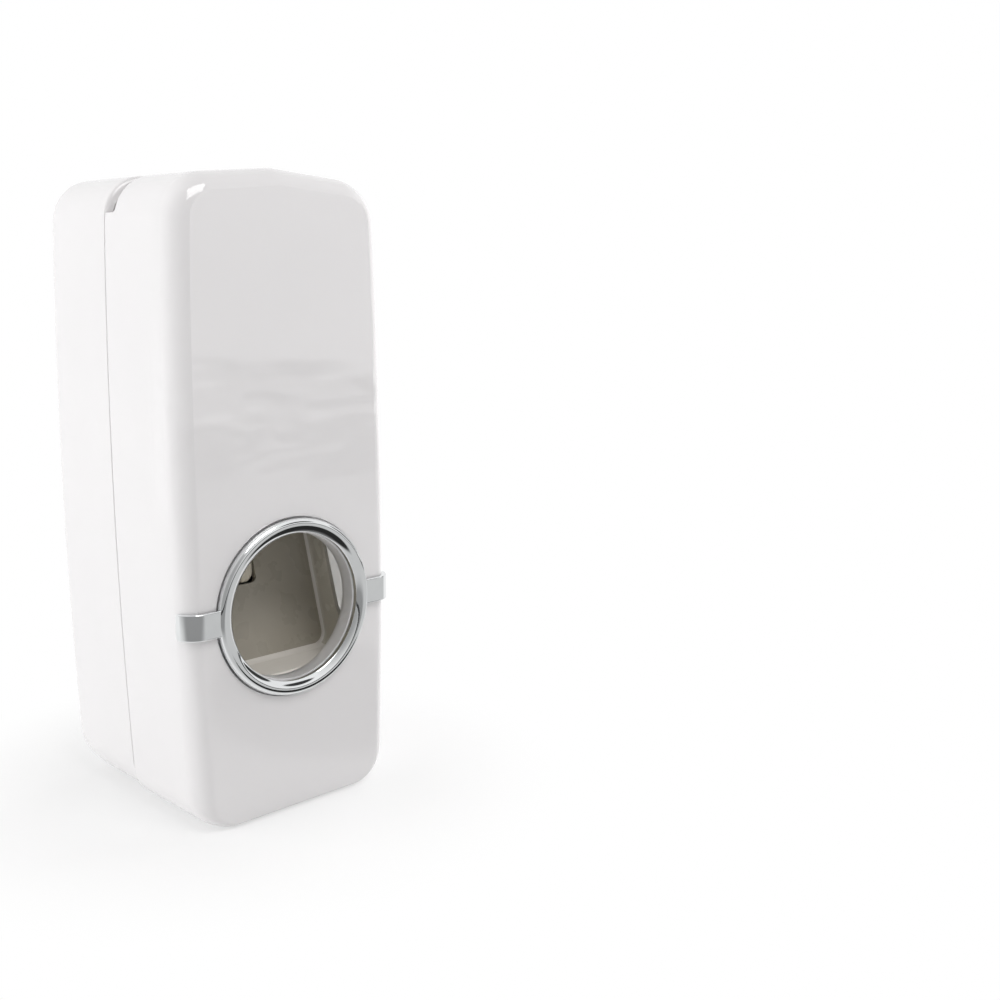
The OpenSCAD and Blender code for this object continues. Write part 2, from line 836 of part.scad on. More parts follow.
chamber_floor = 3;
chamber_z = head_low_z + chamber_floor + chamber_r;
chamber_lead = 1;
channel_set = 0.5;
channel_y = (bulb_face_y + mount_t + chassis_y) / 2 - channel_set;
plug_t = 2.5;
plug_step = 1;
spigot_wall = 3;
spigot_gap = 0.1;
spigot_r = inlet_r + spigot_wall;
valve_r = spigot_r - spigot_gap;
valve_t = 0.8;
pocket_deep = 2.4;
pocket_z = head_high_z - pocket_deep;
nozzle_y = mid_y - nozzle_front;
nozzle_in = 3;
pump_ear_t = 3;
pump_screw_short = 1;
pump_ear_half = screw_head_r + pump_ear_edge;
column_wall = 3;
// Gap between two still pieces that seat against each other.
seat_gap = 0.05;

module pump_body() {
  column_half = channel_r + column_wall;
  color("whitesmoke")
    difference() {
      union() {
        rod_z(head_half, head_low_z, head_high_z, 0, tube_y);
        block([-head_half, tube_y, head_low_z], [head_half, chassis_y, head_high_z]);
        block(
          [-column_half, bulb_face_y + mount_t - stub, bulb_z - mount_r],
          [column_half, chassis_y, head_low_z + stub]
        );
        rod_y(mount_r, bulb_face_y, bulb_face_y + mount_t, 0, bulb_z);
        block(
          [-pump_ear_x - pump_ear_half, chassis_y - pump_ear_t, pump_ear_z - pump_ear_half],
          [pump_ear_x + pump_ear_half, chassis_y, pump_ear_z + pump_ear_half]
        );
      }
      rod_y(chamber_r, nozzle_y - chamber_lead, chassis_y + cut, 0, chamber_z);
      rod_y(chamber_r + plug_step, chassis_y - plug_t, chassis_y + cut, 0, chamber_z);
      rod_z(channel_r, bulb_z - mount_r - cut, chamber_z, 0, channel_y);
      rod_y(channel_r, bulb_face_y - cut, channel_y, 0, bulb_z);
      rod_z(nozzle_r + screw_fit, head_low_z - cut, head_low_z + nozzle_in, 0, nozzle_y);
      rod_z(nozzle_bore_r, head_low_z, chamber_z, 0, nozzle_y);
      rod_z(spigot_r + spigot_gap, pocket_z, head_high_z + cut, 0, tube_y);
      rod_z(inlet_r, chamber_z, head_high_z, 0, tube_y);
      both_sides()
        rod_y(screw_r + screw_clear, chassis_y - pump_ear_t - cut, chassis_y + cut, pump_ear_x, pump_ear_z);
    }
}

module pump_screws() {
  color("silver")
    both_sides()
      translate([pump_ear_x, chassis_y - pump_ear_t, pump_ear_z])
        rotate([-90, 0, 0])
          screw(screw_len - pump_screw_short);
}

plug_nose = 2.4;
plug_groove_len = 1.2;
plug_groove_set = 0.6;
plug_groove_deep = 0.9;
seal_wire_r = 0.42;

// Plug that closes the rear end of the pump chamber, with a groove for its seal.
module chamber_plug() {
  face_y = chassis_y - plug_t;
  groove_y = face_y - plug_groove_set;
  color("whitesmoke")
    difference() {
      union() {
        rod_y(chamber_r + plug_step - seat_gap, face_y + seat_gap, chassis_y - seat_gap, 0, chamber_z);
        rod_y(chamber_r - seat_gap, face_y - plug_nose, face_y + cut, 0, chamber_z);
      }
      difference() {
        rod_y(chamber_r + cut, groove_y - plug_groove_len, groove_y, 0, chamber_z);
        rod_y(chamber_r - plug_groove_deep, face_y - plug_nose - cut, face_y + cut, 0, chamber_z);
      }
    }
}

module chamber_seal() {
  color("dimgray")
    translate([0, chassis_y - plug_t - plug_groove_set - plug_groove_len / 2, chamber_z])
      rotate([-90, 0, 0])
        rotate_extrude()
          translate([chamber_r - seat_gap - seal_wire_r, 0])
            circle(r = seal_wire_r);
}

// Plug in the open foot of the channel.
module channel_plug() {
  foot_z = bulb_z - mount_r;
  reach = 4;
  rim = 0.8;
  rim_t = 1.6;
  color("whitesmoke")
    union() {
      rod_z(channel_r - seat_gap, foot_z - 0.5 * rim_t, foot_z + reach, 0, channel_y);
      rod_z(channel_r + rim, foot_z - rim_t, foot_z - seat_gap, 0, channel_y);
    }
}

// Hollow rubber dome with a flange, standing forward from the pump body.
module pump_bulb() {
  color("lightgray")
    translate([0, bulb_face_y, bulb_z])
      rotate([90, 0, 0])
        rotate_extrude()
          union() {
            intersection() {
              translate([0, skirt_len])
                difference() {
                  circle(r = bulb_r);
                  circle(r = bulb_r - bulb_wall);
                }
              translate([0, skirt_len])
                square([bulb_r + cut, bulb_r + cut]);
            }
            translate([bulb_r - bulb_wall, seat_gap])
              square([bulb_wall, skirt_len - seat_gap + stub]);
            translate([bulb_r - bulb_wall, seat_gap])
              square([flange_w + bulb_wall, flange_t - seat_gap]);
          }
}

// Ring that clamps the bulb's flange on the pump body, with grips round it.
module bulb_retainer() {
  lip_y = bulb_face_y - flange_t - retainer_gap;
  end_y = bulb_face_y + mount_t - retainer_short;
  color("gainsboro")
    difference() {
      union() {
        rod_y(retainer_r, lip_y - retainer_wall, end_y, 0, bulb_z);
        for (turn = [0:60:300])
          translate([0, 0, bulb_z])
            rotate([0, turn, 0])
              block([retainer_r - grip_h, lip_y, -grip_half], [retainer_r + grip_h, end_y, grip_half]);
      }
      rod_y(bulb_r + 2 * retainer_gap, lip_y - retainer_wall - cut, lip_y + cut, 0, bulb_z);
      rod_y(mount_r + retainer_gap, lip_y, end_y + cut, 0, bulb_z);
    }
}

// Flap valve between the tube and the pump chamber: a disc with a hinged tongue.
module inlet_valve() {
  flap_gap = 0.4;
  flap_cut = 0.5;
  hinge_half = 1;
  color("lightgray")
    difference() {
      rod_z(valve_r, pocket_z + seat_gap, pocket_z + valve_t, 0, tube_y);
      difference() {
        rod_z(inlet_r - flap_gap, pocket_z - cut, pocket_z + 2 * valve_t, 0, tube_y);
        rod_z(inlet_r - flap_gap - flap_cut, pocket_z - 2 * cut, pocket_z + 3 * valve_t, 0, tube_y);
        block(
          [-hinge_half, tube_y, pocket_z - 2 * cut],
          [hinge_half, tube_y + inlet_r, pocket_z + 3 * valve_t]
        );
      }
    }
}

// Duckbill valve inside the top of the nozzle: a flange, and a bill with a slit in its tip.
module outlet_valve() {
  top_z = head_low_z + nozzle_in - seat_gap;
  bill_len = 4;
  bill_wall = 0.4;
  slit_half = 0.9;
  slit_w = 0.2;
  tip_z = top_z - bill_len;
  tip_r = nozzle_bore_r - 0.6;
  root_r = nozzle_bore_r - 0.1;
  color("lightgray")
    difference() {
      union() {
        rod_z(nozzle_r - bill_wall / 2, top_z - 2 * bill_wall, top_z, 0, nozzle_y);
        translate([0, nozzle_y, tip_z])
          cylinder(h = bill_len, r1 = tip_r, r2 = root_r);
      }
      translate([0, nozzle_y, tip_z + 1.5 * bill_wall])
        cylinder(h = bill_len, r1 = tip_r - 2 * bill_wall, r2 = root_r - bill_wall);
      block(
        [-slit_w / 2, nozzle_y - slit_half, tip_z - cut],
        [slit_w / 2, nozzle_y + slit_half, tip_z + bill_len / 2]
      );
    }
}

// Nozzle pressed into the pump head, with a shoulder under the head and a round mouth.
module nozzle() {
  shoulder_r = nozzle_r + 1.2;
  shoulder_t = 2;
  tip_r = 0.8;
  color("ivory")
    translate([0, nozzle_y, 0])
      difference() {
        union() {
          rod_z(nozzle_r, nozzle_low_z + tip_r, head_low_z + nozzle_in - 1);
          rod_z(nozzle_r - tip_r, nozzle_low_z, nozzle_low_z + tip_r + stub);
          translate([0, 0, nozzle_low_z + tip_r])
            rotate_extrude()
              translate([nozzle_r - tip_r, 0])
                circle(r = tip_r);
          rod_z(shoulder_r, head_low_z - shoulder_t, head_low_z - seat_gap);
        }
        rod_z(nozzle_bore_r, nozzle_low_z - cut, head_low_z + nozzle_in);
      }
}

scoop_half = scoop_w / 2 + scoop_wall;
arm_in_x = head_half + arm_gap;
arm_low = 10.9;
arm_slope = 1;
press_boss_r = 4;
web_set = 1;
web_down = boss_down - 10;
web_t = 0.4;
window_edge = 0.6;
window_rise = pivot_z - nozzle_low_z + window_drop - plate_set * sin(scoop_lean);
window_low = window_rise / cos(scoop_lean) + window_edge;

// Front outline of the scoop with its round lower corners, grown by a margin.
module scoop_outline(margin, top) {
  half = scoop_w / 2 + margin;
  r = scoop_corner + margin;
  low = -scoop_len - margin;
  union() {
    translate([-half, low + r])
      square([2 * half, top - low - r]);
    translate([-half + r, low])
      square([2 * (half - r), r + stub]);
    for (side = [-1, 1])
      translate([side * (half - r), low + r])
        circle(r = r);
  }
}

// Prism of the scoop's front outline between two depths of its own frame.
module scoop_prism(margin, top, y0, y1) {
  translate([0, y1, 0])
    rotate([90, 0, 0])
      linear_extrude(height = y1 - y0)
        scoop_outline(margin, top);
}

// Side view of the scoop: the plate, and walls that deepen towards the ledge.
module scoop_side_view() {
  translate([-scoop_half, 0, 0])
    rotate([90, 0, 90])
      linear_extrude(height = 2 * scoop_half)
        polygon([
          [plate_back, 0],
          [-plate_set, 0],
          [-plate_set, -arm_low],
          [-plate_set - scoop_deep, -arm_low - scoop_deep - arm_slope],
          [-plate_set - scoop_deep - scoop_flare, -scoop_len - scoop_wall],
          [plate_back, -scoop_len - scoop_wall]
        ]);
}

module push_lever() {
  deep = plate_set + scoop_deep + scoop_flare + cut;
  color("seashell")
    difference() {
      scoop_frame()
        difference() {
          union() {
            difference() {
              intersection() {
                scoop_prism(scoop_wall, 0, -deep, plate_back);
                scoop_side_view();
              }
              scoop_prism(0, cut, -deep, -plate_set);
            }
            rod_y(press_boss_r, plate_back - plate_t / 2, plate_back + boss_h, 0, -boss_down);
            both_sides() {
              rod_y(
                spring_boss_r,
                plate_back - plate_t / 2,
                plate_back + 2 * spring_pad_h + cut,
                spring_x,
                -spring_down
              );
              rod_x(knuckle_r, arm_in_x, scoop_half, 0, 0);
              lever_web();
            }
          }
          block([-arm_in_x, -deep, -arm_low], [arm_in_x, knuckle_r + cut, knuckle_r + cut]);
          block([-window_half, -deep, -window_low], [window_half, plate_back + cut, 0]);
          rod_x(pin_r + pin_gap, -scoop_w, scoop_w);
        }
      both_sides()
        block(
          [spring_x - spring_seat_r, spring_pad_y, spring_z - 2 * spring_seat_r],
          [spring_x + spring_seat_r, spring_pad_y + 2 * spring_seat_r, spring_z + 2 * spring_seat_r]
        );
    }
}

// Upright web behind the plate at each arm of the scoop.
module lever_web() {
  translate([arm_in_x + web_set, 0, 0])
    rotate([90, 0, 90])
      linear_extrude(height = scoop_wall)
        polygon([
          [plate_back - stub, 0],
          [knuckle_r - web_t, 0],
          [plate_back + web_t, -web_down],
          [plate_back - stub, -web_down]
        ]);
}

clip_t = 0.6;
clip_gap = 0.2;
clip_rim = 1.2;
clip_x = arm_in_x - clip_t - clip_gap;
clip_groove_r = pin_r - 0.4;
pin_end = 0.8;
pin_head_t = 0.5;
pin_head_r = knuckle_r - 0.6;
pin_head_x = outer_x + cheek_boss_h + seat_gap;

// Pivot pins, each with a flat head outside its cheek and a groove for its clip.
module pivot_pins() {
  color("silver")
    both_sides()
      difference() {
        union() {
          rod_x(pin_r, clip_x - pin_end, pin_head_x + seat_gap, pivot_y, pivot_z);
          rod_x(pin_head_r, pin_head_x, pin_head_x + pin_head_t, pivot_y, pivot_z);
        }
        difference() {
          rod_x(pin_r + cut, clip_x - seat_gap, clip_x + clip_t + seat_gap, pivot_y, pivot_z);
          rod_x(clip_groove_r, clip_x - cut, clip_x + 2 * cut, pivot_y, pivot_z);
        }
      }
}

// Open clips in the grooves at the pins' inner ends.
module pin_clips() {
  mouth_half = clip_groove_r * 0.8;
  color("dimgray")
    both_sides()
      difference() {
        rod_x(pin_r + clip_rim, clip_x, clip_x + clip_t, pivot_y, pivot_z);
        rod_x(clip_groove_r + screw_fit, clip_x - cut, clip_x + clip_t + cut, pivot_y, pivot_z);
        block(
          [clip_x - cut, pivot_y - mouth_half, pivot_z - pin_r - clip_rim - cut],
          [clip_x + clip_t + cut, pivot_y + mouth_half, pivot_z]
        );
      }
}

spring_gap = 0.3;
spring_y0 = spring_pad_y + wire_r + spring_gap;
spring_y1 = chassis_y - wire_r - seat_gap;
rings_per_turn = 8;
wire_sides = 6;
end_turn_gap = 0.6;
end_pitch = 2 * wire_r + end_turn_gap;

// Distance along the spring after a number of turns, with its end turns drawn close together.
function spring_run(turn) =
  let (
    open = (spring_y1 - spring_y0 - 2 * end_pitch) / (spring_turns - 2),
    middle = min(max(turn - 1, 0), spring_turns - 2),
    ends = min(turn, 1) + max(turn - spring_turns + 1, 0)
  )
    middle * open + ends * end_pitch;

function spring_point(i) =
  let (turn = i / rings_per_turn)
    [spring_r * cos(360 * turn), spring_y0 + spring_run(turn), spring_r * sin(360 * turn)];

spring_rings = spring_turns * rings_per_turn;
spring_points = [for (i = [0:spring_rings]) spring_point(i)];

// Gaps between each ring of the wire and the rings about one turn further on.
turn_gaps = [
  for (i = [0:spring_rings - 6], j = [i + 6:min(i + 10, spring_rings)])
    norm(spring_points[j] - spring_points[i]) - 2 * wire_r
];
echo(least_spring_gap = min(turn_gaps));

// One turn of wire after another, as a tube of six sides.
module spring() {
  polyhedron(
    points = [
      for (i = [0:spring_rings], k = [0:wire_sides - 1])
        let (
          turn = 360 * i / rings_per_turn,
          side = 360 * k / wire_sides,
          centre = spring_points[i]
        )
          centre + wire_r * [cos(side) * cos(turn), sin(side), cos(side) * sin(turn)]
    ],
    faces = concat(
      [for (k = [1:wire_sides - 2]) [0, k, k + 1]],
      [
        for (i = [0:spring_rings - 1], k = [0:wire_sides - 1], half = [0, 1])
          let (
            a = i * wire_sides + k,
            b = i * wire_sides + (k + 1) % wire_sides
          )
            half == 0 ? [a, b + wire_sides, b] : [a, a + wire_sides, b + wire_sides]
      ],
      [
        for (k = [1:wire_sides - 2])
          spring_rings * wire_sides * [1, 1, 1] + [0, k + 1, k]
      ]
    )
  );
}

module return_springs() {
  color("silver")
    for (side = [-1, 1])
      translate([side * spring_x, 0, spring_z])
        spring();
}

// Rubber pads on the chassis that stop the scoop at rest.
module stop_pads() {
  color("dimgray")
    scoop_frame()
      both_sides()
        rod_y(pad_r, pad_y, pad_y + pad_t, pad_x, -pad_down);
}

seal_r = neck_r + seal_wall;
seal_gap = 0.1;
cup_r = seal_r + seal_gap + cup_wall;
socket_rim = 1.6;
socket_flange_t = 2;
socket_z = shelf_high_z;
cup_floor_z = socket_z + socket_flange_t;
cup_high_z = cup_floor_z + neck_deep;
socket_ear_r = screw_head_r + 1;
socket_screw_x = cup_r + socket_rim + socket_ear_r;
lip_t = 1.2;

// Cup on the shelf that takes the seal and the tube's neck, with a spigot into the pump head.
module tube_socket() {
  color("gainsboro")
    difference() {
      union() {
        rod_z(cup_r, socket_z, cup_high_z, 0, tube_y);
        rod_z(spigot_r, pocket_z + valve_t + seat_gap, socket_z + stub, 0, tube_y);
        rod_z(cup_r + socket_rim, socket_z, cup_floor_z, 0, tube_y);
        both_sides()
          rod_z(socket_ear_r, socket_z, cup_floor_z, socket_screw_x, tube_y);
        block(
          [-socket_screw_x, tube_y - socket_ear_r, socket_z],
          [socket_screw_x, tube_y + socket_ear_r, cup_floor_z]
        );
      }
      rod_z(seal_r + seal_gap, cup_floor_z, cup_high_z + cut, 0, tube_y);
      rod_z(inlet_r, pocket_z, cup_high_z, 0, tube_y);
      both_sides()
        rod_z(screw_r + screw_clear, socket_z - cut, cup_floor_z + cut, socket_screw_x, tube_y);
    }
}

module socket_screws() {
  color("silver")
    both_sides()
      translate([socket_screw_x, tube_y, cup_floor_z])
        mirror([0, 0, 1])
          screw(screw_len - socket_flange_t);
}

// Rubber seal that grips the tube's neck, with a lip over the cup and a funnel mouth.
module tube_seal() {
  floor_t = 1;
  funnel = 0.8;
  color("lightgray")
    difference() {
      union() {
        rod_z(seal_r, cup_floor_z + seat_gap, cup_high_z + stub, 0, tube_y);
        rod_z(cup_r - 2 * seal_gap, cup_high_z, cup_high_z + lip_t, 0, tube_y);
      }
      rod_z(neck_r, cup_floor_z + floor_t, cup_high_z + lip_t + cut, 0, tube_y);
      rod_z(inlet_r, cup_floor_z - cut, cup_floor_z + floor_t + cut, 0, tube_y);
      translate([0, tube_y, cup_high_z + lip_t - funnel])
        cylinder(h = funnel + stub, r1 = neck_r, r2 = neck_r + funnel);
    }
}

// Screw ring that holds the seal down, with grips round it.
module seal_ring() {
  ring_wall = 1.5;
  ring_low_z = cup_floor_z + shelf_gap;
  ring_high_z = cup_high_z + lip_t + ring_wall;
  outer_r = cup_r + ring_wall;
  grip_r = 0.5;
  color("gainsboro")
    difference() {
      rod_z(outer_r, ring_low_z, ring_high_z, 0, tube_y);
      rod_z(cup_r + seal_gap, ring_low_z - cut, cup_high_z + lip_t + seat_gap, 0, tube_y);
      rod_z(neck_r + ring_wall, cup_high_z, ring_high_z + cut, 0, tube_y);
      for (turn = [0:15:345])
        translate([0, tube_y, 0])
          rotate([0, 0, turn])
            rod_z(grip_r, ring_low_z + ring_wall, ring_high_z + cut, outer_r + grip_r / 2, 0);
    }
}

front_cover();
port_ring();
rear_case();
chassis();
chassis_screws();
pump_body();
pump_screws();
chamber_plug();
chamber_seal();
channel_plug();
pump_bulb();
bulb_retainer();
inlet_valve();
outlet_valve();
nozzle();
push_lever();
pivot_pins();
pin_clips();
return_springs();
stop_pads();
tube_socket();
socket_screws();
tube_seal();
seal_ring();
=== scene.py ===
from math import asin, atan2, cos, degrees, hypot, pi, radians, sin, sqrt, tan

import bmesh
import bpy
from mathutils import Matrix, Vector
from mathutils.geometry import tessellate_polygon


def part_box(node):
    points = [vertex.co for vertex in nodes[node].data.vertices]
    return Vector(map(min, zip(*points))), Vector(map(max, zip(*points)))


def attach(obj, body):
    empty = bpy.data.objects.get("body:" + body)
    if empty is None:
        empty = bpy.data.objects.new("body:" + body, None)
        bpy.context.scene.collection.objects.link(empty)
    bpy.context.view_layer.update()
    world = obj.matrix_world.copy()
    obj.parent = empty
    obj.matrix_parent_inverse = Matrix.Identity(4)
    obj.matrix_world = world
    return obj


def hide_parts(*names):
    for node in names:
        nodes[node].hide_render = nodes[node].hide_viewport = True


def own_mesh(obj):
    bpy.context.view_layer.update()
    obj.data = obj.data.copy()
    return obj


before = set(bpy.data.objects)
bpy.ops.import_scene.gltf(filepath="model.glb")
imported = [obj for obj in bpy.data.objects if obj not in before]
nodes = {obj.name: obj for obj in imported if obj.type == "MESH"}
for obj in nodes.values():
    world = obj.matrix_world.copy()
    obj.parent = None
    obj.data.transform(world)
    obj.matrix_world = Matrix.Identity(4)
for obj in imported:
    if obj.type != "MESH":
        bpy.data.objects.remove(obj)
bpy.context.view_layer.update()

MM = 0.001
QUARTER = pi / 2

# Sizes of the case in millimetres, in the frame of the solids. The sides bulge most at BELLY_Z, and the two
# leans are over the whole height.
CASE_W = 60.8
CASE_H = 157.0
WALL = 2.2
SIDE_BULGE = 2.2
BELLY_Z = 82.0
FRONT_Y = -29.65
FRONT_LEAN = 0.7
BACK_Y = 31.15
REAR_LEAN = 1.4
COVER_END_Y = 1.15
CASE_START_Y = 1.35
FRONT_FOOT_R = 10.0
REAR_FOOT_R = 12.0
FOOT_SHRINK = 0.7
ROOF_SLOPE = radians(5)
TOP_R = 11.0
TOP_CENTRE_Z = 144.38

# Front edge: how far it comes in from the side, how deep it is, and how far it comes in at the foot.
EDGE_IN = 4.3
EDGE_DEEP = 6.0
FOOT_IN = 1.3

# Rear edge: the underside rises in a heel towards the rear wall.
HEEL_RISE = 4.0
HEEL_DEEP = 11.0
HEEL_Y = BACK_Y - HEEL_DEEP
REAR_EDGE_R = 3.0

# Tail slot in the roof: it ends at SLOT_LOW_Z in a round, where the cover's rear edge turns forward.
SLOT_FRONT_Y = -3.25
SLOT_LOW_Z = 146.5
SLOT_EDGE_R = 0.45
SLOT_END_R = 1.15
SLOT_CENTRE_Z = SLOT_LOW_Z + SLOT_END_R
SLOT_STEP = 0.02
SLOT_OPEN_W = 46.0

# Port with its ring and the collar behind it.
PORT_Z = 52.2
RING_R = 22.1
RING_IN_R = 18.5
RING_FRONT_Y = -31.15
RING_SINK = 0.35
COLLAR_R = 18.2
COLLAR_OUT_R = 21.3
COLLAR_Y = -25.25
COLLAR_RIM = 0.3

# Tongue and pegs at the seam, posts, ribs and keyholes.
TONGUE_END_Y = -1.75
TONGUE_GAP = 0.25
TONGUE_T = 1.1
TONGUE_ROOT_Y = CASE_START_Y + 3
PEG_R = 1.2
PEG_BOSS_R = 2.6
PEG_HEIGHTS = (16.0, 134.0)
PEG_RIB_HALF = 1.3
SOCKET_DEEP = 9.0
SOCKET_START = 0.5
POST_X = 19.0
POST_HEIGHTS = (31.1, 79.2)
POST_R = 3.6
POST_BORE_R = 1.32
POST_FRONT_Y = 16.75
RIB_HALF = 0.6
RIB_H = 2.5
KEY_X = 14.0
KEY_Z = 120.0
KEY_HEAD_R = 4.5
KEY_SLOT_HALF = 2.25
KEY_RISE = 9.0

# Material slots of the two shells, and the angle over which an edge shows as sharp.
OUTSIDE, INSIDE = 0, 1
SHARP_ANGLE = 32


def smooth_step(low, high, value):
    """0 up to low, 1 from high on, and a smooth change between them."""
    t = min(max((value - low) / (high - low), 0.0), 1.0)
    return t * t * (3 - 2 * t)


def spread(start, end, count):
    """Even values from start to end, in so many steps."""
    return [start + (end - start) * i / count for i in range(count + 1)]


def circle(r, steps):
    return [(r * cos(a), r * sin(a)) for a in spread(0, 2 * pi, steps)[:-1]]


def new_object(name, data):
    obj = bpy.data.objects.new(name, data)
    bpy.context.scene.collection.objects.link(obj)
    return obj


def half_w(z):
    return CASE_W / 2 - SIDE_BULGE * ((z - BELLY_Z) / BELLY_Z) ** 2


def face_y(z):
    return FRONT_Y + FRONT_LEAN * z / CASE_H


def rear_y(z):
    return BACK_Y - REAR_LEAN * z / CASE_H


def behind_face(depth):
    return lambda z: face_y(z) + depth


def corner_turn():
    """Angles round the upper corner in degrees, with extra ones where the tail slot ends."""
    heights = [SLOT_LOW_Z - drop for drop in (SLOT_EDGE_R, 0.3, 0.15, 0.04, 0)] + [SLOT_LOW_Z + SLOT_STEP]
    heights += [SLOT_CENTRE_Z - SLOT_END_R * cos(s) for s in spread(0, QUARTER, 6)[1:]]
    heights += [SLOT_LOW_Z + 1.5, SLOT_LOW_Z + 2.0]
    slot_end = [degrees(asin((z - TOP_CENTRE_Z) / TOP_R)) for z in heights]
    return [0, 2.4, 4.8, 7] + slot_end + spread(slot_end[-1] + 3.5, 85, 16)


CORNER_ANGLES = corner_turn()


def arc(x, z, r, angles):
    return [(x + r * cos(radians(a)), z + r * sin(radians(a))) for a in angles]


def outline(inset, lift, foot_r):
    """Closed outline of the case from the front, as (x, z), from the foot's middle up the right side."""
    low_r = foot_r - FOOT_SHRINK * inset
    low_z = lift + low_r
    low_x = half_w(low_z) - inset - low_r
    high_r = TOP_R - inset
    high_x = half_w(CASE_H - TOP_R) - inset - high_r
    ridge_z = CASE_H - inset / cos(ROOF_SLOPE)
    high_z = ridge_z - high_x * tan(ROOF_SLOPE) - high_r / cos(ROOF_SLOPE)
    right = [(x, lift) for x in spread(0, low_x, 6)[:-1]]
    right += arc(low_x, low_z, low_r, spread(-90, 0, 20))
    right += [(half_w(z) - inset, z) for z in spread(low_z, high_z, 32)[1:-1]]
    right += arc(high_x, high_z, high_r, CORNER_ANGLES)
    end_x, end_z = right[-1]
    for share in (0.12, 0.3, 0.5, 0.7, 0.85, 0.94):
        right.append((end_x * (1 - share), end_z + (ridge_z - end_z) * share))
    right.append((0.0, ridge_z))
    return right + [(-x, z) for x, z in right[-2:0:-1]]


def cover_outline(inset=0.0, lift=None):
    return outline(inset, inset if lift is None else lift, FRONT_FOOT_R)


def rear_outline(inset=0.0, lift=None):
    return outline(inset, inset if lift is None else lift, REAR_FOOT_R)


COUNT = len(cover_outline())


def stand(points, y, lean=0.0):
    """The outline stood up at y, where y may be a number or a function of the height."""
    depth = y if callable(y) else (lambda z: y)
    return [(x, depth(z) + lean * z / CASE_H, z) for x, z in points]


def stand_each(points, depths):
    """The outline stood up with a depth of its own for each point."""
    return [(x, y, z) for (x, z), y in zip(points, depths)]


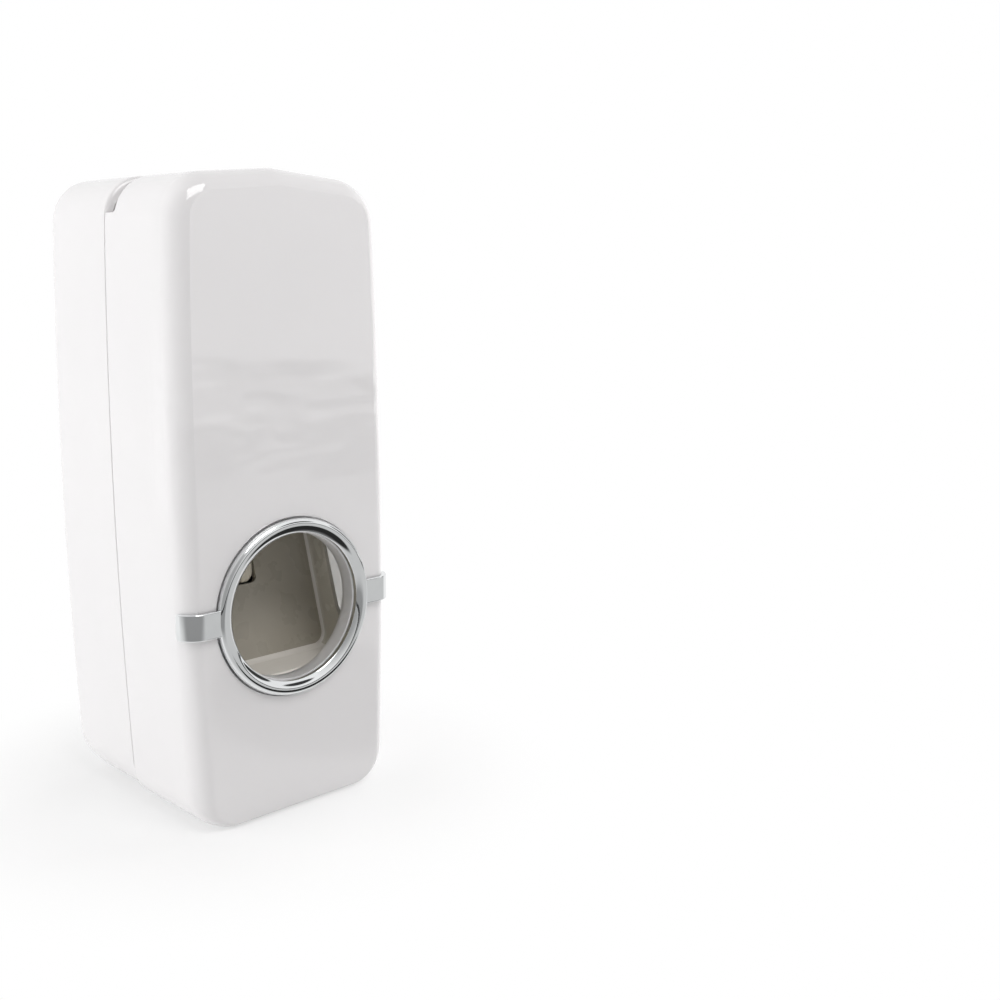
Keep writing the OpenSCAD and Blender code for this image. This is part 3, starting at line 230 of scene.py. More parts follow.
class Form:
    """Gathers loops, rods and blocks in millimetres into one mesh."""

    def __init__(self):
        self.verts = []
        self.faces = []
        self.slots = []
        self.sharp = []

    def add(self, verts, faces, slot=0):
        base = len(self.verts)
        self.verts += [tuple(v) for v in verts]
        self.faces += [tuple(base + i for i in f) for f in faces]
        self.slots += [slot] * len(faces)
        return base

    def face(self, corners, slot=0):
        self.faces.append(tuple(corners))
        self.slots.append(slot)

    def loops(self, loops, slots, closed=False, ring=True):
        """Joins loops of equal length. The slots are one number, or one for each strip."""
        n = len(loops[0])
        base = self.add([p for loop in loops for p in loop], [])
        strips = len(loops) if closed else len(loops) - 1
        for k in range(strips):
            a = base + k * n
            b = base + ((k + 1) % len(loops)) * n
            for i in range(n if ring else n - 1):
                j = (i + 1) % n
                self.face((a + i, a + j, b + j, b + i), slots if isinstance(slots, int) else slots[k])
        return base

    def skin(self, pairs, closed=False):
        """Joins pairs of a loop and the slot of the strip that follows it."""
        return self.loops([loop for loop, slot in pairs], [slot for loop, slot in pairs], closed)

    def tube(self, loops, slot=0):
        """Joins loops and closes both ends."""
        n = len(loops[0])
        base = self.loops(loops, slot)
        end = base + (len(loops) - 1) * n
        self.face(range(base, base + n), slot)
        self.face(range(end, end + n), slot)

    def lathe(self, section, origin, axis, slot=0, steps=64, closed=True):
        """Turns a section of (radius, distance) points round an axis through origin."""
        loops = []
        for r, h in section:
            loop = []
            for u, v in circle(r, steps):
                offset = {"x": (h, u, v), "y": (u, h, v), "z": (u, v, h)}[axis]
                loop.append(tuple(o + d for o, d in zip(origin, offset)))
            loops.append(loop)
        if closed:
            self.loops(loops, slot, closed=True)
        else:
            self.tube(loops, slot)

    def rod(self, r, start, end, slot=0, edge=0.25, steps=40, bore=0.0):
        """Rod from start along y to the coordinate end, with rounded rims and an optional bore."""
        length = end - start[1]
        e = min(edge, abs(length) / 3, (r - bore) / 3)
        turn = spread(0, QUARTER, 3)
        section = [(r - e + e * sin(a), e - e * cos(a)) for a in turn]
        section += [(r - e + e * cos(a), length - e + e * sin(a)) for a in turn]
        if bore:
            section += [(bore, length), (bore, 0)]
        self.lathe(section, start, "y", slot, steps, closed=bool(bore))

    def block(self, low, high, slot=0):
        """Box between two corners, with rounded edges."""
        bm = bmesh.new()
        bmesh.ops.create_cube(bm, size=1)
        for v in bm.verts:
            v.co = Vector(l + (h - l) * (c + 0.5) for l, h, c in zip(low, high, v.co))
        self.take(bm, slot)

    def slab(self, points, start, end, slot=0, edge=0.25, move=None):
        """Flat polygon of (y, z) points, drawn out along x, with rounded edges."""
        bm = bmesh.new()
        low = [bm.verts.new((start, y, z)) for y, z in points]
        high = [bm.verts.new((end, y, z)) for y, z in points]
        bm.faces.new(low)
        bm.faces.new(high[::-1])
        for i in range(len(points)):
            j = (i + 1) % len(points)
            bm.faces.new((low[i], low[j], high[j], high[i]))
        bmesh.ops.recalc_face_normals(bm, faces=bm.faces[:])
        self.take(bm, slot, edge, move)

    def take(self, bm, slot, edge=0.25, move=None):
        """Rounds the edges of a mesh, moves it into place and adds it."""
        bmesh.ops.bevel(bm, geom=bm.edges[:], offset=edge, segments=2, profile=0.5, affect="EDGES")
        bm.verts.index_update()
        verts = [move(v.co) if move else v.co for v in bm.verts]
        self.add(verts, [[v.index for v in f.verts] for f in bm.faces], slot)
        bm.free()

    def mesh(self, name, materials, angle):
        mesh = bpy.data.meshes.new(name)
        mesh.from_pydata([Vector(v) * MM for v in self.verts], [], self.faces)
        for m in materials:
            mesh.materials.append(m)
        mesh.polygons.foreach_set("material_index", self.slots)
        bm = bmesh.new()
        bm.from_mesh(mesh)
        bmesh.ops.recalc_face_normals(bm, faces=bm.faces[:])
        bm.to_mesh(mesh)
        bm.free()
        mesh.polygons.foreach_set("use_smooth", [True] * len(mesh.polygons))
        mesh.set_sharp_from_angle(angle=radians(angle))
        if self.sharp:
            mark = mesh.attributes.get("sharp_edge") or mesh.attributes.new("sharp_edge", "BOOLEAN", "EDGE")
            pairs = {frozenset(p) for p in self.sharp}
            for e in mesh.edges:
                if frozenset(e.vertices) in pairs:
                    mark.data[e.index].value = True
        return mesh

    def piece(self, name, body, materials, stands_for, angle=SHARP_ANGLE):
        """Makes the object, which rides on a body and stands for CAD nodes."""
        obj = new_object(name, self.mesh(name, materials, angle))
        add_normals(obj)
        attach(obj, body)
        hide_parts(*stands_for)
        return obj


def add_normals(obj):
    mod = obj.modifiers.new("normals", "WEIGHTED_NORMAL")
    mod.keep_sharp = True
    mod.weight = 50


# Shader nodes that the materials, the floor and the world share.
def link(output, socket):
    output.id_data.links.new(output, socket)


def new_node(tree, kind, values, **settings):
    """Adds a node. Its values are numbers or other nodes' outputs, by the name or number of the input."""
    node = tree.nodes.new("ShaderNode" + kind)
    for key, value in settings.items():
        setattr(node, key, value)
    for key, value in values.items():
        if isinstance(value, bpy.types.NodeSocket):
            link(value, node.inputs[key])
        else:
            node.inputs[key].default_value = value
    return node


def ramp(value, low, high, start=0.0, end=1.0, curve="SMOOTHSTEP"):
    """A change from start to end as the value goes from low to high."""
    values = {"Value": value, "From Min": low, "From Max": high, "To Min": start, "To Max": end}
    return new_node(value.id_data, "MapRange", values, interpolation_type=curve).outputs[0]


def math_node(operation, first, second):
    return new_node(first.id_data, "Math", {0: first, 1: second}, operation=operation).outputs[0]


def product(first, second):
    return math_node("MULTIPLY", first, second)


def less(value):
    """1 minus the value."""
    return new_node(value.id_data, "Math", {0: 1.0, 1: value}, operation="SUBTRACT").outputs[0]


def along(vector, direction):
    """How far a vector reaches in a direction."""
    values = {0: vector, 1: Vector(direction).normalized()}
    return new_node(vector.id_data, "VectorMath", values, operation="DOT_PRODUCT").outputs["Value"]


def reach(vector):
    """How far a vector's end is from the origin."""
    return new_node(vector.id_data, "VectorMath", {0: vector}, operation="DISTANCE").outputs["Value"]


def blend(share, first, second, out):
    """Sends a mix of two shaders to the output, which is the second one where the share is 1."""
    mix = new_node(share.id_data, "MixShader", {0: share, 1: first.outputs[0], 2: second.outputs[0]})
    link(mix.outputs[0], out.inputs[0])


# Materials. Every one varies in colour, gloss and relief over the surface.
def node_material(name):
    mat = bpy.data.materials.new(name)
    mat.use_nodes = True
    tree = mat.node_tree
    tree.nodes.clear()
    out = tree.nodes.new("ShaderNodeOutputMaterial")
    shader = tree.nodes.new("ShaderNodeBsdfPrincipled")
    tree.links.new(shader.outputs[0], out.inputs[0])
    place = tree.nodes.new("ShaderNodeTexCoord")
    return mat, shader, place.outputs["Object"]


def noise(place, scale, detail=3.0, stretch=None):
    if stretch:
        place = new_node(place.id_data, "Mapping", {"Vector": place, "Scale": stretch}).outputs[0]
    values = {"Vector": place, "Scale": scale, "Detail": detail}
    return new_node(place.id_data, "TexNoise", values).outputs["Fac"]


def tint(shader, fac, colour, share):
    """Lets the colour drift between its full tone and a darker share of it."""
    tones = new_node(fac.id_data, "ValToRGB", {0: fac})
    first, last = tones.color_ramp.elements
    first.position = 0.35
    first.color = (*(c * share for c in colour), 1)
    last.position = 0.65
    last.color = (*colour, 1)
    link(tones.outputs[0], shader.inputs["Base Color"])


def gloss(shader, fac, low, high):
    link(ramp(fac, 0.3, 0.7, low, high, "LINEAR"), shader.inputs["Roughness"])


def relief(shader, layers):
    """Stacks bumps of (height output, depth in millimetres)."""
    below = {}
    for height, depth in layers:
        values = {"Strength": 1.0, "Distance": depth * MM, "Height": height, **below}
        below = {"Normal": new_node(shader.id_data, "Bump", values).outputs[0]}
    link(below["Normal"], shader.inputs["Normal"])


def soften(shader, weight, radius, scale):
    """Lets light spread under the skin, by a radius in metres for red, green and blue."""
    shader.inputs["Subsurface Weight"].default_value = weight
    shader.inputs["Subsurface Radius"].default_value = radius
    shader.inputs["Subsurface Scale"].default_value = scale


# Where the front panel has sunk: an axis, and the places in metres where that starts and is full.
SUNK_SPANS = (("Z", 0.070, 0.092), ("Z", 0.128, 0.108), ("Y", -0.018, -0.026))


def sunk_swell(place):
    split = new_node(place.id_data, "SeparateXYZ", {0: place})
    height = noise(place, scale=40, detail=2, stretch=(0.6, 1, 1.7))
    for axis, start, full in SUNK_SPANS:
        height = product(height, ramp(split.outputs[axis], start, full))
    return height


def plastic(
    name, colour, rough, grain=0.004, wave=0.02, shade=0.03, ior=1.5, soft=0.0, flow=None, sunk=0.0,
):
    """Moulded plastic: slow waves, a fine skin, and slight drifts of tone and gloss. Grain, wave and sunk
    are depths in millimetres, shade is how much darker the tone may get, and flow stretches the waves."""
    mat, shader, place = node_material(name)
    tint(shader, noise(place, scale=22, detail=2), colour, 1 - shade)
    gloss(shader, noise(place, scale=160), rough * 0.85, rough * 1.15)
    layers = [(sunk_swell(place), sunk)] if sunk else []
    layers.append((noise(place, scale=30, detail=1, stretch=flow), wave))
    layers.append((noise(place, scale=2600, detail=2), grain))
    relief(shader, layers)
    shader.inputs["IOR"].default_value = ior
    if soft:
        soften(shader, soft, (0.012, 0.0118, 0.0114), 1.0)
    return mat


def metal(name, colour, rough, grain=0.001, wave=0.004, scratch=0.0):
    """Metal with a slight swell, a fine grain and, where scratch is a depth, marks drawn out along x."""
    mat, shader, place = node_material(name)
    shader.inputs["Metallic"].default_value = 1.0
    tint(shader, noise(place, scale=90), colour, 0.94)
    gloss(shader, noise(place, scale=700, detail=4), rough * 0.7, rough * 1.4)
    layers = [(noise(place, scale=60, detail=1), wave)]
    layers.append((noise(place, scale=3000, detail=2), grain))
    if scratch:
        layers.append((noise(place, scale=1200, detail=2, stretch=(0.05, 1, 1)), scratch))
    relief(shader, layers)
    return mat


def rubber(name, colour, rough, clear=0.0):
    """Matt rubber, which lets some light in where clear is above 0."""
    mat, shader, place = node_material(name)
    tint(shader, noise(place, scale=200, detail=4), colour, 0.85)
    gloss(shader, noise(place, scale=500), rough * 0.8, rough * 1.15)
    relief(shader, [(noise(place, scale=1800), 0.012)])
    if clear:
        soften(shader, clear, (0.003, 0.003, 0.003), 0.6)
    return mat


shell_outside = plastic(
    "shell_outside", (0.80, 0.79, 0.795), 0.03, grain=0.0006, wave=0.05, shade=0.015, ior=1.62,
    flow=(0.5, 1, 1.6), sunk=1.5,
)
shell_inside = plastic("shell_inside", (0.80, 0.785, 0.765), 0.42, grain=0.006, wave=0.03, soft=0.8)
# The scoop is one plastic in three tones: the plate's dark tone is painted shade, the walls' middle tone is
# lighter painted shade, and the pale tone of the ledge and fillet is painted light, which draws the fillet
# as a painted highlight line.
scoop_plate_painted_shade = plastic("scoop_plate_painted_shade", (0.43, 0.40, 0.335), 0.28, grain=0.008, wave=0.015, shade=0.04)
scoop_walls_painted_shade = plastic("scoop_walls_painted_shade", (0.64, 0.61, 0.53), 0.26, grain=0.008, wave=0.015, shade=0.04)
scoop_ledge_painted_light = plastic("scoop_ledge_painted_light", (0.86, 0.83, 0.77), 0.24, grain=0.004, wave=0.03, shade=0.04)
frame_skin = plastic("frame_skin", (0.66, 0.66, 0.65), 0.4, grain=0.006, wave=0.02, shade=0.05)
pump_skin = plastic("pump_skin", (0.74, 0.74, 0.72), 0.32, grain=0.004, wave=0.02, shade=0.04)
nozzle_skin = plastic("nozzle_skin", (0.80, 0.74, 0.60), 0.3, grain=0.002, wave=0.01, shade=0.04, soft=0.2)
chrome = metal("chrome", (0.80, 0.815, 0.82), 0.05, wave=0.03)
steel = metal("steel", (0.56, 0.56, 0.57), 0.28, grain=0.003, scratch=0.002)
dark_steel = metal("dark_steel", (0.12, 0.12, 0.125), 0.38, grain=0.004)
silicone = rubber("silicone", (0.62, 0.61, 0.58), 0.45, clear=0.25)
black_rubber = rubber("black_rubber", (0.035, 0.035, 0.037), 0.6)


# Pegs and ribs of both shells.
def peg_x(z):
    return half_w(z) - WALL - TONGUE_GAP - TONGUE_T - PEG_R


def side_rib(form, side, x, z, front, back, half):
    """Level rib from x out to the middle of the side wall."""
    low_x, high_x = sorted((side * x, side * (half_w(z) - WALL / 2)))
    form.block((low_x, front, z - half), (high_x, back, z + half), INSIDE)


# Front cover: one closed skin from the port's collar over the panel, round the edge, and back inside.
CREASE_TURN = 12
CREASE_FADE = (58, 104)
CREASE_SHARP_Z = 74
SEAT_STEP = 0.1
GROOVE_DEEP = 0.6
GROOVE_GAP = 0.3
HOLE_ROUND = 0.2
RIM_ROUND = 0.22
INNER_RIM = 0.2


def crease_angle(z):
    """The round meets the panel in a crease at the top, which fades out towards the foot."""
    return radians(90 - CREASE_TURN * smooth_step(*CREASE_FADE, z))


def edge_ring(t):
    """Ring of the front round at a share t of its turn: t = 1 is the panel's border."""
    rings = {}
    loop = []
    for i, (x, z) in enumerate(cover_outline()):
        a = crease_angle(z)
        inset = EDGE_IN * (1 - cos(a * t)) / (1 - cos(a))
        depth = EDGE_DEEP * (1 - sin(a * t) / sin(a))
        key = round(inset, 2)
        if key not in rings:
            rings[key] = cover_outline(inset, FOOT_IN * inset / EDGE_IN)
        x, z = rings[key][i]
        loop.append((x, face_y(z) + depth, z))
    return loop


def cover_rear_y(z):
    """Rear edge of the cover: straight up the sides, then forward to the tail slot's front lip."""
    turn_z = SLOT_LOW_Z - SLOT_EDGE_R
    turn_y = COVER_END_Y - SLOT_EDGE_R
    slot_y = SLOT_FRONT_Y + SLOT_END_R
    if z <= turn_z:
        return COVER_END_Y
    if z <= SLOT_LOW_Z:
        rise = (z - turn_z) / SLOT_EDGE_R
        return turn_y + SLOT_EDGE_R * sqrt(max(1 - rise * rise, 0))
    if z < SLOT_LOW_Z + SLOT_STEP:
        return turn_y - (z - SLOT_LOW_Z) / SLOT_STEP * (turn_y - slot_y)
    if z < SLOT_CENTRE_Z:
        drop = (SLOT_CENTRE_Z - z) / SLOT_END_R
        return slot_y - SLOT_END_R * sqrt(max(1 - drop * drop, 0))
    return SLOT_FRONT_Y


def circle_loop(r, y, angles):
    return stand([(r * cos(a), PORT_Z + r * sin(a)) for a in angles], y)


def cover_mouth(angles):
    """From the collar's bore over the ring's seat and groove to the panel, as pairs of loop and slot."""
    seat_y = face_y(PORT_Z) + RING_SINK
    hole_r = RING_R + GROOVE_GAP
    section = (
        (COLLAR_R, COLLAR_Y + COLLAR_RIM, INSIDE),
        (COLLAR_R, seat_y + 0.35, INSIDE),
        (COLLAR_R + 0.08, seat_y + 0.16, OUTSIDE),
        (COLLAR_R + 0.25, seat_y + SEAT_STEP, OUTSIDE),
        (RING_R - 0.3, seat_y + SEAT_STEP, OUTSIDE),
        (RING_R - 0.1, seat_y + GROOVE_DEEP, OUTSIDE),
        (hole_r, seat_y + GROOVE_DEEP, OUTSIDE),
    )
    pairs = [(circle_loop(r, y, angles), slot) for r, y, slot in section]
    for s in spread(0, QUARTER, 2):
        r = hole_r + HOLE_ROUND * (1 - cos(s))
        pairs.append((circle_loop(r, behind_face(HOLE_ROUND * (1 - sin(s))), angles), OUTSIDE))
    pairs.append((circle_loop(hole_r + 0.8, face_y, angles), OUTSIDE))
    pairs.append((stand(cover_outline(EDGE_IN + 0.5, FOOT_IN + 0.3), face_y), OUTSIDE))
    return pairs


def cover_sides(ends):
    """From the panel's border round the edge and along the sides to the rear rim."""
    loops = [edge_ring(t) for t in spread(1, 0, 14)]
    base = cover_outline()
    for share in (0.08, 0.2, 0.4, 0.6, 0.8, 0.93):
        loop = []
        for (x, z), end in zip(base, ends):
            front = face_y(z) + EDGE_DEEP
            loop.append((x, front + (end - 0.35 - front) * share, z))
        loops.append(loop)
    for s in spread(0, QUARTER, 3):
        points = cover_outline(RIM_ROUND * (1 - cos(s)))
        loops.append(stand_each(points, [end - RIM_ROUND * (1 - sin(s)) for end in ends]))
    return loops


def cover_inside(ends, angles):
    """From the rear rim forward along the inner wall, behind the panel and back over the collar."""
    rim = WALL - INNER_RIM
    loops = [
        stand_each(cover_outline(rim), ends),
        stand_each(cover_outline(WALL), [end - INNER_RIM for end in ends]),
    ]
    corner = (
        (WALL, EDGE_DEEP),
        (WALL + EDGE_IN / 12, EDGE_DEEP / 2),
        (WALL + EDGE_IN / 3, EDGE_DEEP / 6),
        (WALL / 2 + EDGE_IN, 0.0),
    )
    for inset, depth in corner:
        loops.append(stand(cover_outline(inset, WALL), FRONT_Y + WALL + depth, FRONT_LEAN))
    collar = (
        (COLLAR_OUT_R + 0.5, behind_face(WALL)),
        (COLLAR_OUT_R, behind_face(WALL + 0.5)),
        (COLLAR_OUT_R, COLLAR_Y - COLLAR_RIM),
        (COLLAR_OUT_R - COLLAR_RIM, COLLAR_Y),
    )
    return loops + [circle_loop(r, y, angles) for r, y in collar]


def build_cover():
    form = Form()
    border = edge_ring(1.0)
    angles = [atan2(z - PORT_Z, x) for x, y, z in border]
    ends = [cover_rear_y(z) for x, z in cover_outline()]
    pairs = cover_mouth(angles)
    crease = len(pairs) * COUNT
    pairs += [(loop, OUTSIDE) for loop in cover_sides(ends)]
    pairs += [(loop, INSIDE) for loop in cover_inside(ends, angles)]
    pairs.append((circle_loop(COLLAR_R + COLLAR_RIM, COLLAR_Y, angles), OUTSIDE))
    form.skin(pairs, closed=True)
    for i in range(COUNT):
        j = (i + 1) % COUNT
        if min(border[i][2], border[j][2]) > CREASE_SHARP_Z:
            form.sharp.append((crease + i, crease + j))
    socket_start, socket_end = TONGUE_END_Y - SOCKET_DEEP, TONGUE_END_Y - SOCKET_START
    for z in PEG_HEIGHTS:
        x = peg_x(z)
        for side in (-1, 1):
            form.rod(PEG_BOSS_R, (side * x, socket_start, z), socket_end, INSIDE, bore=PEG_R + 0.05)
            side_rib(form, side, x + PEG_BOSS_R - 0.4, z, socket_start, socket_end, PEG_RIB_HALF)
    low, high = PORT_Z + RING_R + 8, CASE_H - TOP_R - 8
    front, back = face_y(low) + WALL / 2, face_y(high) + WALL + RIB_H
    profile = [(front, low), (front, high), (back, high), (back, low)]
    for side in (-1, 1):
        x = side * CASE_W / 5
        form.slab(profile, x - RIB_HALF, x + RIB_HALF, INSIDE)
    form.piece("cover_shell", "cover", [shell_outside, shell_inside], ["front_cover"])


# Rear case: outer skin, rear wall with its two keyholes, inner skin, tongue, posts, pegs and ribs.
SEAM_CHAMFER = 0.3
SLOT_LIP = 0.75
SLOT_LIP_SPAN = (146.2, 148.2)
SEAM_BEVEL = 0.15
KEY_CHAMFER = 0.25
BACK_RIB_X = 21.5


def heel(y):
    """How far the underside has risen at a depth."""
    s = max((y - HEEL_Y) / HEEL_DEEP, 0.0)
    return HEEL_RISE * (1 - sqrt(max(1 - s * s, 0.0)))


def lip_round(z):
    """The front edge is a fine chamfer at the seam and a fuller round where it forms the slot's lip."""
    return SEAM_CHAMFER + SLOT_LIP * smooth_step(*SLOT_LIP_SPAN, z)


def keyhole_loops(y_of, grow=0.0):
    """The two keyholes' outlines: a round head below and a narrow slot above it."""
    head, slot = KEY_HEAD_R + grow, KEY_SLOT_HALF + grow
    top = KEY_Z + KEY_RISE
    start = asin(slot / head)
    points = [(slot * cos(a), top + slot * sin(a)) for a in spread(0, pi, 12)]
    for a in spread(start, 2 * pi - start, 28):
        points.append((-head * sin(a), KEY_Z + head * cos(a)))
    return [stand([(side * KEY_X + x, z) for x, z in points], y_of) for side in (-1, 1)]


def rear_outside():
    """From the seam back over the sides, the heel and the rear edge."""
    loops = []
    base = rear_outline()
    for s in spread(0, QUARTER, 5):
        loop = []
        for x, z in base:
            r = lip_round(z)
            inset = r * (1 - sin(s))
            narrow = inset / CASE_W * 2
            height = (z - CASE_H / 2) / (CASE_H / 2)
            loop.append((x * (1 - narrow), CASE_START_Y + r * (1 - cos(s)), z - inset * height))
        loops.append(loop)
    side_y = CASE_START_Y + 1.2
    for share in (0.1, 0.35, 0.7):
        loops.append(stand(base, side_y + (HEEL_Y - side_y) * share))
    for y in spread(HEEL_Y, BACK_Y - REAR_EDGE_R, 10):
        loops.append(stand(rear_outline(0, heel(y)), y, -REAR_LEAN))
    for a in spread(10, 90, 8):
        s = radians(a)
        y = BACK_Y - REAR_EDGE_R * (1 - sin(s))
        inset = REAR_EDGE_R * (1 - cos(s))
        loops.append(stand(rear_outline(inset, heel(y)), y, -REAR_LEAN))
    return loops


def rear_inside():
    """From the seam back to the rear wall."""
    section = (
        (WALL, WALL, HEEL_Y),
        (WALL, WALL + HEEL_RISE / 2, BACK_Y - WALL - 1.9),
        (WALL + 0.6, WALL + HEEL_RISE * 0.8, BACK_Y - WALL - 0.6),
        (WALL + 1.9, WALL + HEEL_RISE, BACK_Y - WALL),
    )
    return [stand(rear_outline(inset, lift), y, -REAR_LEAN) for inset, lift, y in section]


def add_rear_wall(form, outer_border, inner_border):
    """Both faces of the rear wall, and the walls of its keyholes."""
    wide_keys = keyhole_loops(rear_y, KEY_CHAMFER)
    edge_keys = keyhole_loops(lambda z: rear_y(z) - KEY_CHAMFER)
    deep_keys = keyhole_loops(lambda z: rear_y(z) - WALL)
    for border, keys, slot in ((outer_border, wide_keys, OUTSIDE), (inner_border, deep_keys, INSIDE)):
        polygons = [border] + keys
        triangles = tessellate_polygon([[Vector((x, z, 0)) for x, y, z in loop] for loop in polygons])
        form.add([p for loop in polygons for p in loop], triangles, slot)
    for loops in zip(wide_keys, edge_keys, deep_keys):
        form.loops(loops, INSIDE)


def add_tongue(form):
    """Tongue round the seam, open at the tail slot, and the shelf that carries it."""
    inset = WALL + TONGUE_GAP
    outer = rear_outline(inset)
    inner = rear_outline(inset + TONGUE_T)
    root = rear_outline(WALL / 2)
    kept = [i for i, (x, z) in enumerate(outer) if abs(x) >= SLOT_OPEN_W / 2 - 1.5 or z <= 140]
    cut = next(k for k in range(1, len(kept)) if kept[k] != kept[k - 1] + 1)
    order = kept[cut:] + kept[:cut]
    section = [(outer, TONGUE_ROOT_Y), (outer, TONGUE_END_Y + 0.25), (outer, TONGUE_END_Y + 0.1)]
    section += [(inner, TONGUE_END_Y), (inner, TONGUE_ROOT_Y)]
    strips = [stand([points[i] for i in order], y) for points, y in section]
    first = form.loops(strips, OUTSIDE, closed=True, ring=False)
    for end in (0, len(order) - 1):
        form.face([first + k * len(order) + end for k in range(len(section))], OUTSIDE)
    shelf_y = CASE_START_Y + 0.6
    shelf = ((root, shelf_y), (inner, shelf_y), (inner, TONGUE_ROOT_Y), (root, TONGUE_ROOT_Y))
    form.loops([stand(points, y) for points, y in shelf], INSIDE, closed=True)


def add_posts(form):
    """Screw posts for the chassis, each with an upright rib and a level one."""
    for z in POST_HEIGHTS:
        back = rear_y(z) - WALL / 2
        for side in (-1, 1):
            x = side * POST_X
            form.rod(POST_R, (x, POST_FRONT_Y, z), back, INSIDE, bore=POST_BORE_R)
            form.block((x - RIB_HALF, 20.4, z - POST_R - 3), (x + RIB_HALF, back, z + POST_R + 3), INSIDE)
            side_rib(form, side, POST_X + 3, z, 18.6, back, RIB_HALF)


def add_pegs(form):
    """Locating pegs, which go into the cover's sockets."""
    for z in PEG_HEIGHTS:
        x = peg_x(z)
        for side in (-1, 1):
            form.rod(PEG_BOSS_R, (side * x, CASE_START_Y, z), CASE_START_Y + 8, INSIDE)
            form.rod(PEG_R, (side * x, TONGUE_END_Y - 8.5, z), CASE_START_Y + 1, INSIDE, edge=0.4)
            side_rib(form, side, x, z, CASE_START_Y + 0.6, CASE_START_Y + 8, PEG_RIB_HALF)


def add_back_ribs(form):
    """Two upright ribs and a level one on the rear wall, round the keyholes."""
    y = rear_y(CASE_H)
    for x in (-BACK_RIB_X, BACK_RIB_X):
        form.block((x - RIB_HALF, y - WALL - RIB_H, 89.3), (x + RIB_HALF, y - WALL / 2, 143), INSIDE)
    z = KEY_Z - 7.5
    y = rear_y(z)
    low = (-BACK_RIB_X, y - WALL - RIB_H, z - RIB_HALF)
    form.block(low, (BACK_RIB_X, y - WALL / 2, z + RIB_HALF), INSIDE)


def build_rear():
    form = Form()
    seam = stand(rear_outline(WALL), CASE_START_Y + SEAM_BEVEL)
    rim = stand(rear_outline(WALL - SEAM_BEVEL), CASE_START_Y)
    outside = rear_outside()
    form.skin([(seam, INSIDE), (rim, OUTSIDE)] + [(loop, OUTSIDE) for loop in outside])
    inside = [seam] + rear_inside()
    form.loops(inside, INSIDE)
    add_rear_wall(form, outside[-1], inside[-1])
    add_tongue(form)
    add_posts(form)
    add_pegs(form)
    add_back_ribs(form)
    form.piece("rear_shell", "case", [shell_outside, shell_inside], ["rear_case"])


# Port ring: a band that rises from a plain inner wall to its crown and falls away outside, and two ears.
BAND_OUT_R = 1.2
BAND_EDGE_R = 0.25
BAND_TILT = radians(38)
EAR_TURN_END = 0.22
EAR_GAP = 0.3
EAR_T = 1.25
EAR_HALF = 3.25
EAR_ROUND = 0.35


def ear_path():
    """From under the band over the panel and part of the way round the edge, as (x, y)."""
    w, y = half_w(PORT_Z), face_y(PORT_Z)
    path = [(RING_R - 2.5, y), (RING_R + 0.5, y)]
    for t in spread(1, EAR_TURN_END, 16):
        a = QUARTER * t
        path.append((w - EDGE_IN * (1 - cos(a)), y + EDGE_DEEP * (1 - sin(a))))
    return path


def ring_section():
    """Half section as (radius, distance behind the front): seat, inner wall, band and seat again."""
    crown_r = RING_R - BAND_OUT_R
    seat = face_y(PORT_Z) + RING_SINK - RING_FRONT_Y
    sin_tilt, cos_tilt = sin(BAND_TILT), cos(BAND_TILT)
    turn_r = (crown_r - RING_IN_R - BAND_EDGE_R + BAND_EDGE_R * sin_tilt) / sin_tilt
    lip = turn_r * (1 - cos_tilt) + BAND_EDGE_R * cos_tilt
    section = [(RING_IN_R, seat)]
    for a in spread(0, QUARTER - BAND_TILT, 5):
        section.append((RING_IN_R + BAND_EDGE_R * (1 - cos(a)), lip - BAND_EDGE_R * sin(a)))
    for a in spread(BAND_TILT, 0, 12)[1:]:
        section.append((crown_r - turn_r * sin(a), turn_r * (1 - cos(a))))
    for a in spread(0, QUARTER, 12)[1:]:
        section.append((crown_r + BAND_OUT_R * sin(a), BAND_OUT_R * (1 - cos(a))))
    return section + [(RING_R, seat)]


def ear_profile(shrink):
    """Section of an ear across its path, as (distance off the path, height), with rounded outer edges."""
    half, thick = EAR_HALF - shrink, EAR_T - shrink
    profile = [(EAR_GAP, half), (thick - EAR_ROUND, half)]
    for a in (22, 45, 68, 90):
        s = radians(a)
        profile.append((thick - EAR_ROUND * (1 - sin(s)), half - EAR_ROUND * (1 - cos(s))))
    return profile + [(off, -up) for off, up in profile[::-1]]


def build_ring():
    form = Form()
    form.lathe(ring_section(), (0, RING_FRONT_Y, PORT_Z), "y", steps=180)
    path = ear_path()
    last = len(path) - 1
    for side in (-1, 1):
        loops = []
        for k, (x, y) in enumerate(path):
            before, after = path[max(k - 1, 0)], path[min(k + 1, last)]
            dx, dy = after[0] - before[0], after[1] - before[1]
            size = hypot(dx, dy)
            nx, ny = dy / size, -dx / size
            profile = ear_profile(EAR_ROUND * smooth_step(last - 1.6, last, k))
            loops.append([(side * (x + nx * off), y + ny * off, PORT_Z + up) for off, up in profile])
        form.tube(loops)
    form.piece("port_trim", "cover", [chrome], ["port_ring"], angle=40)


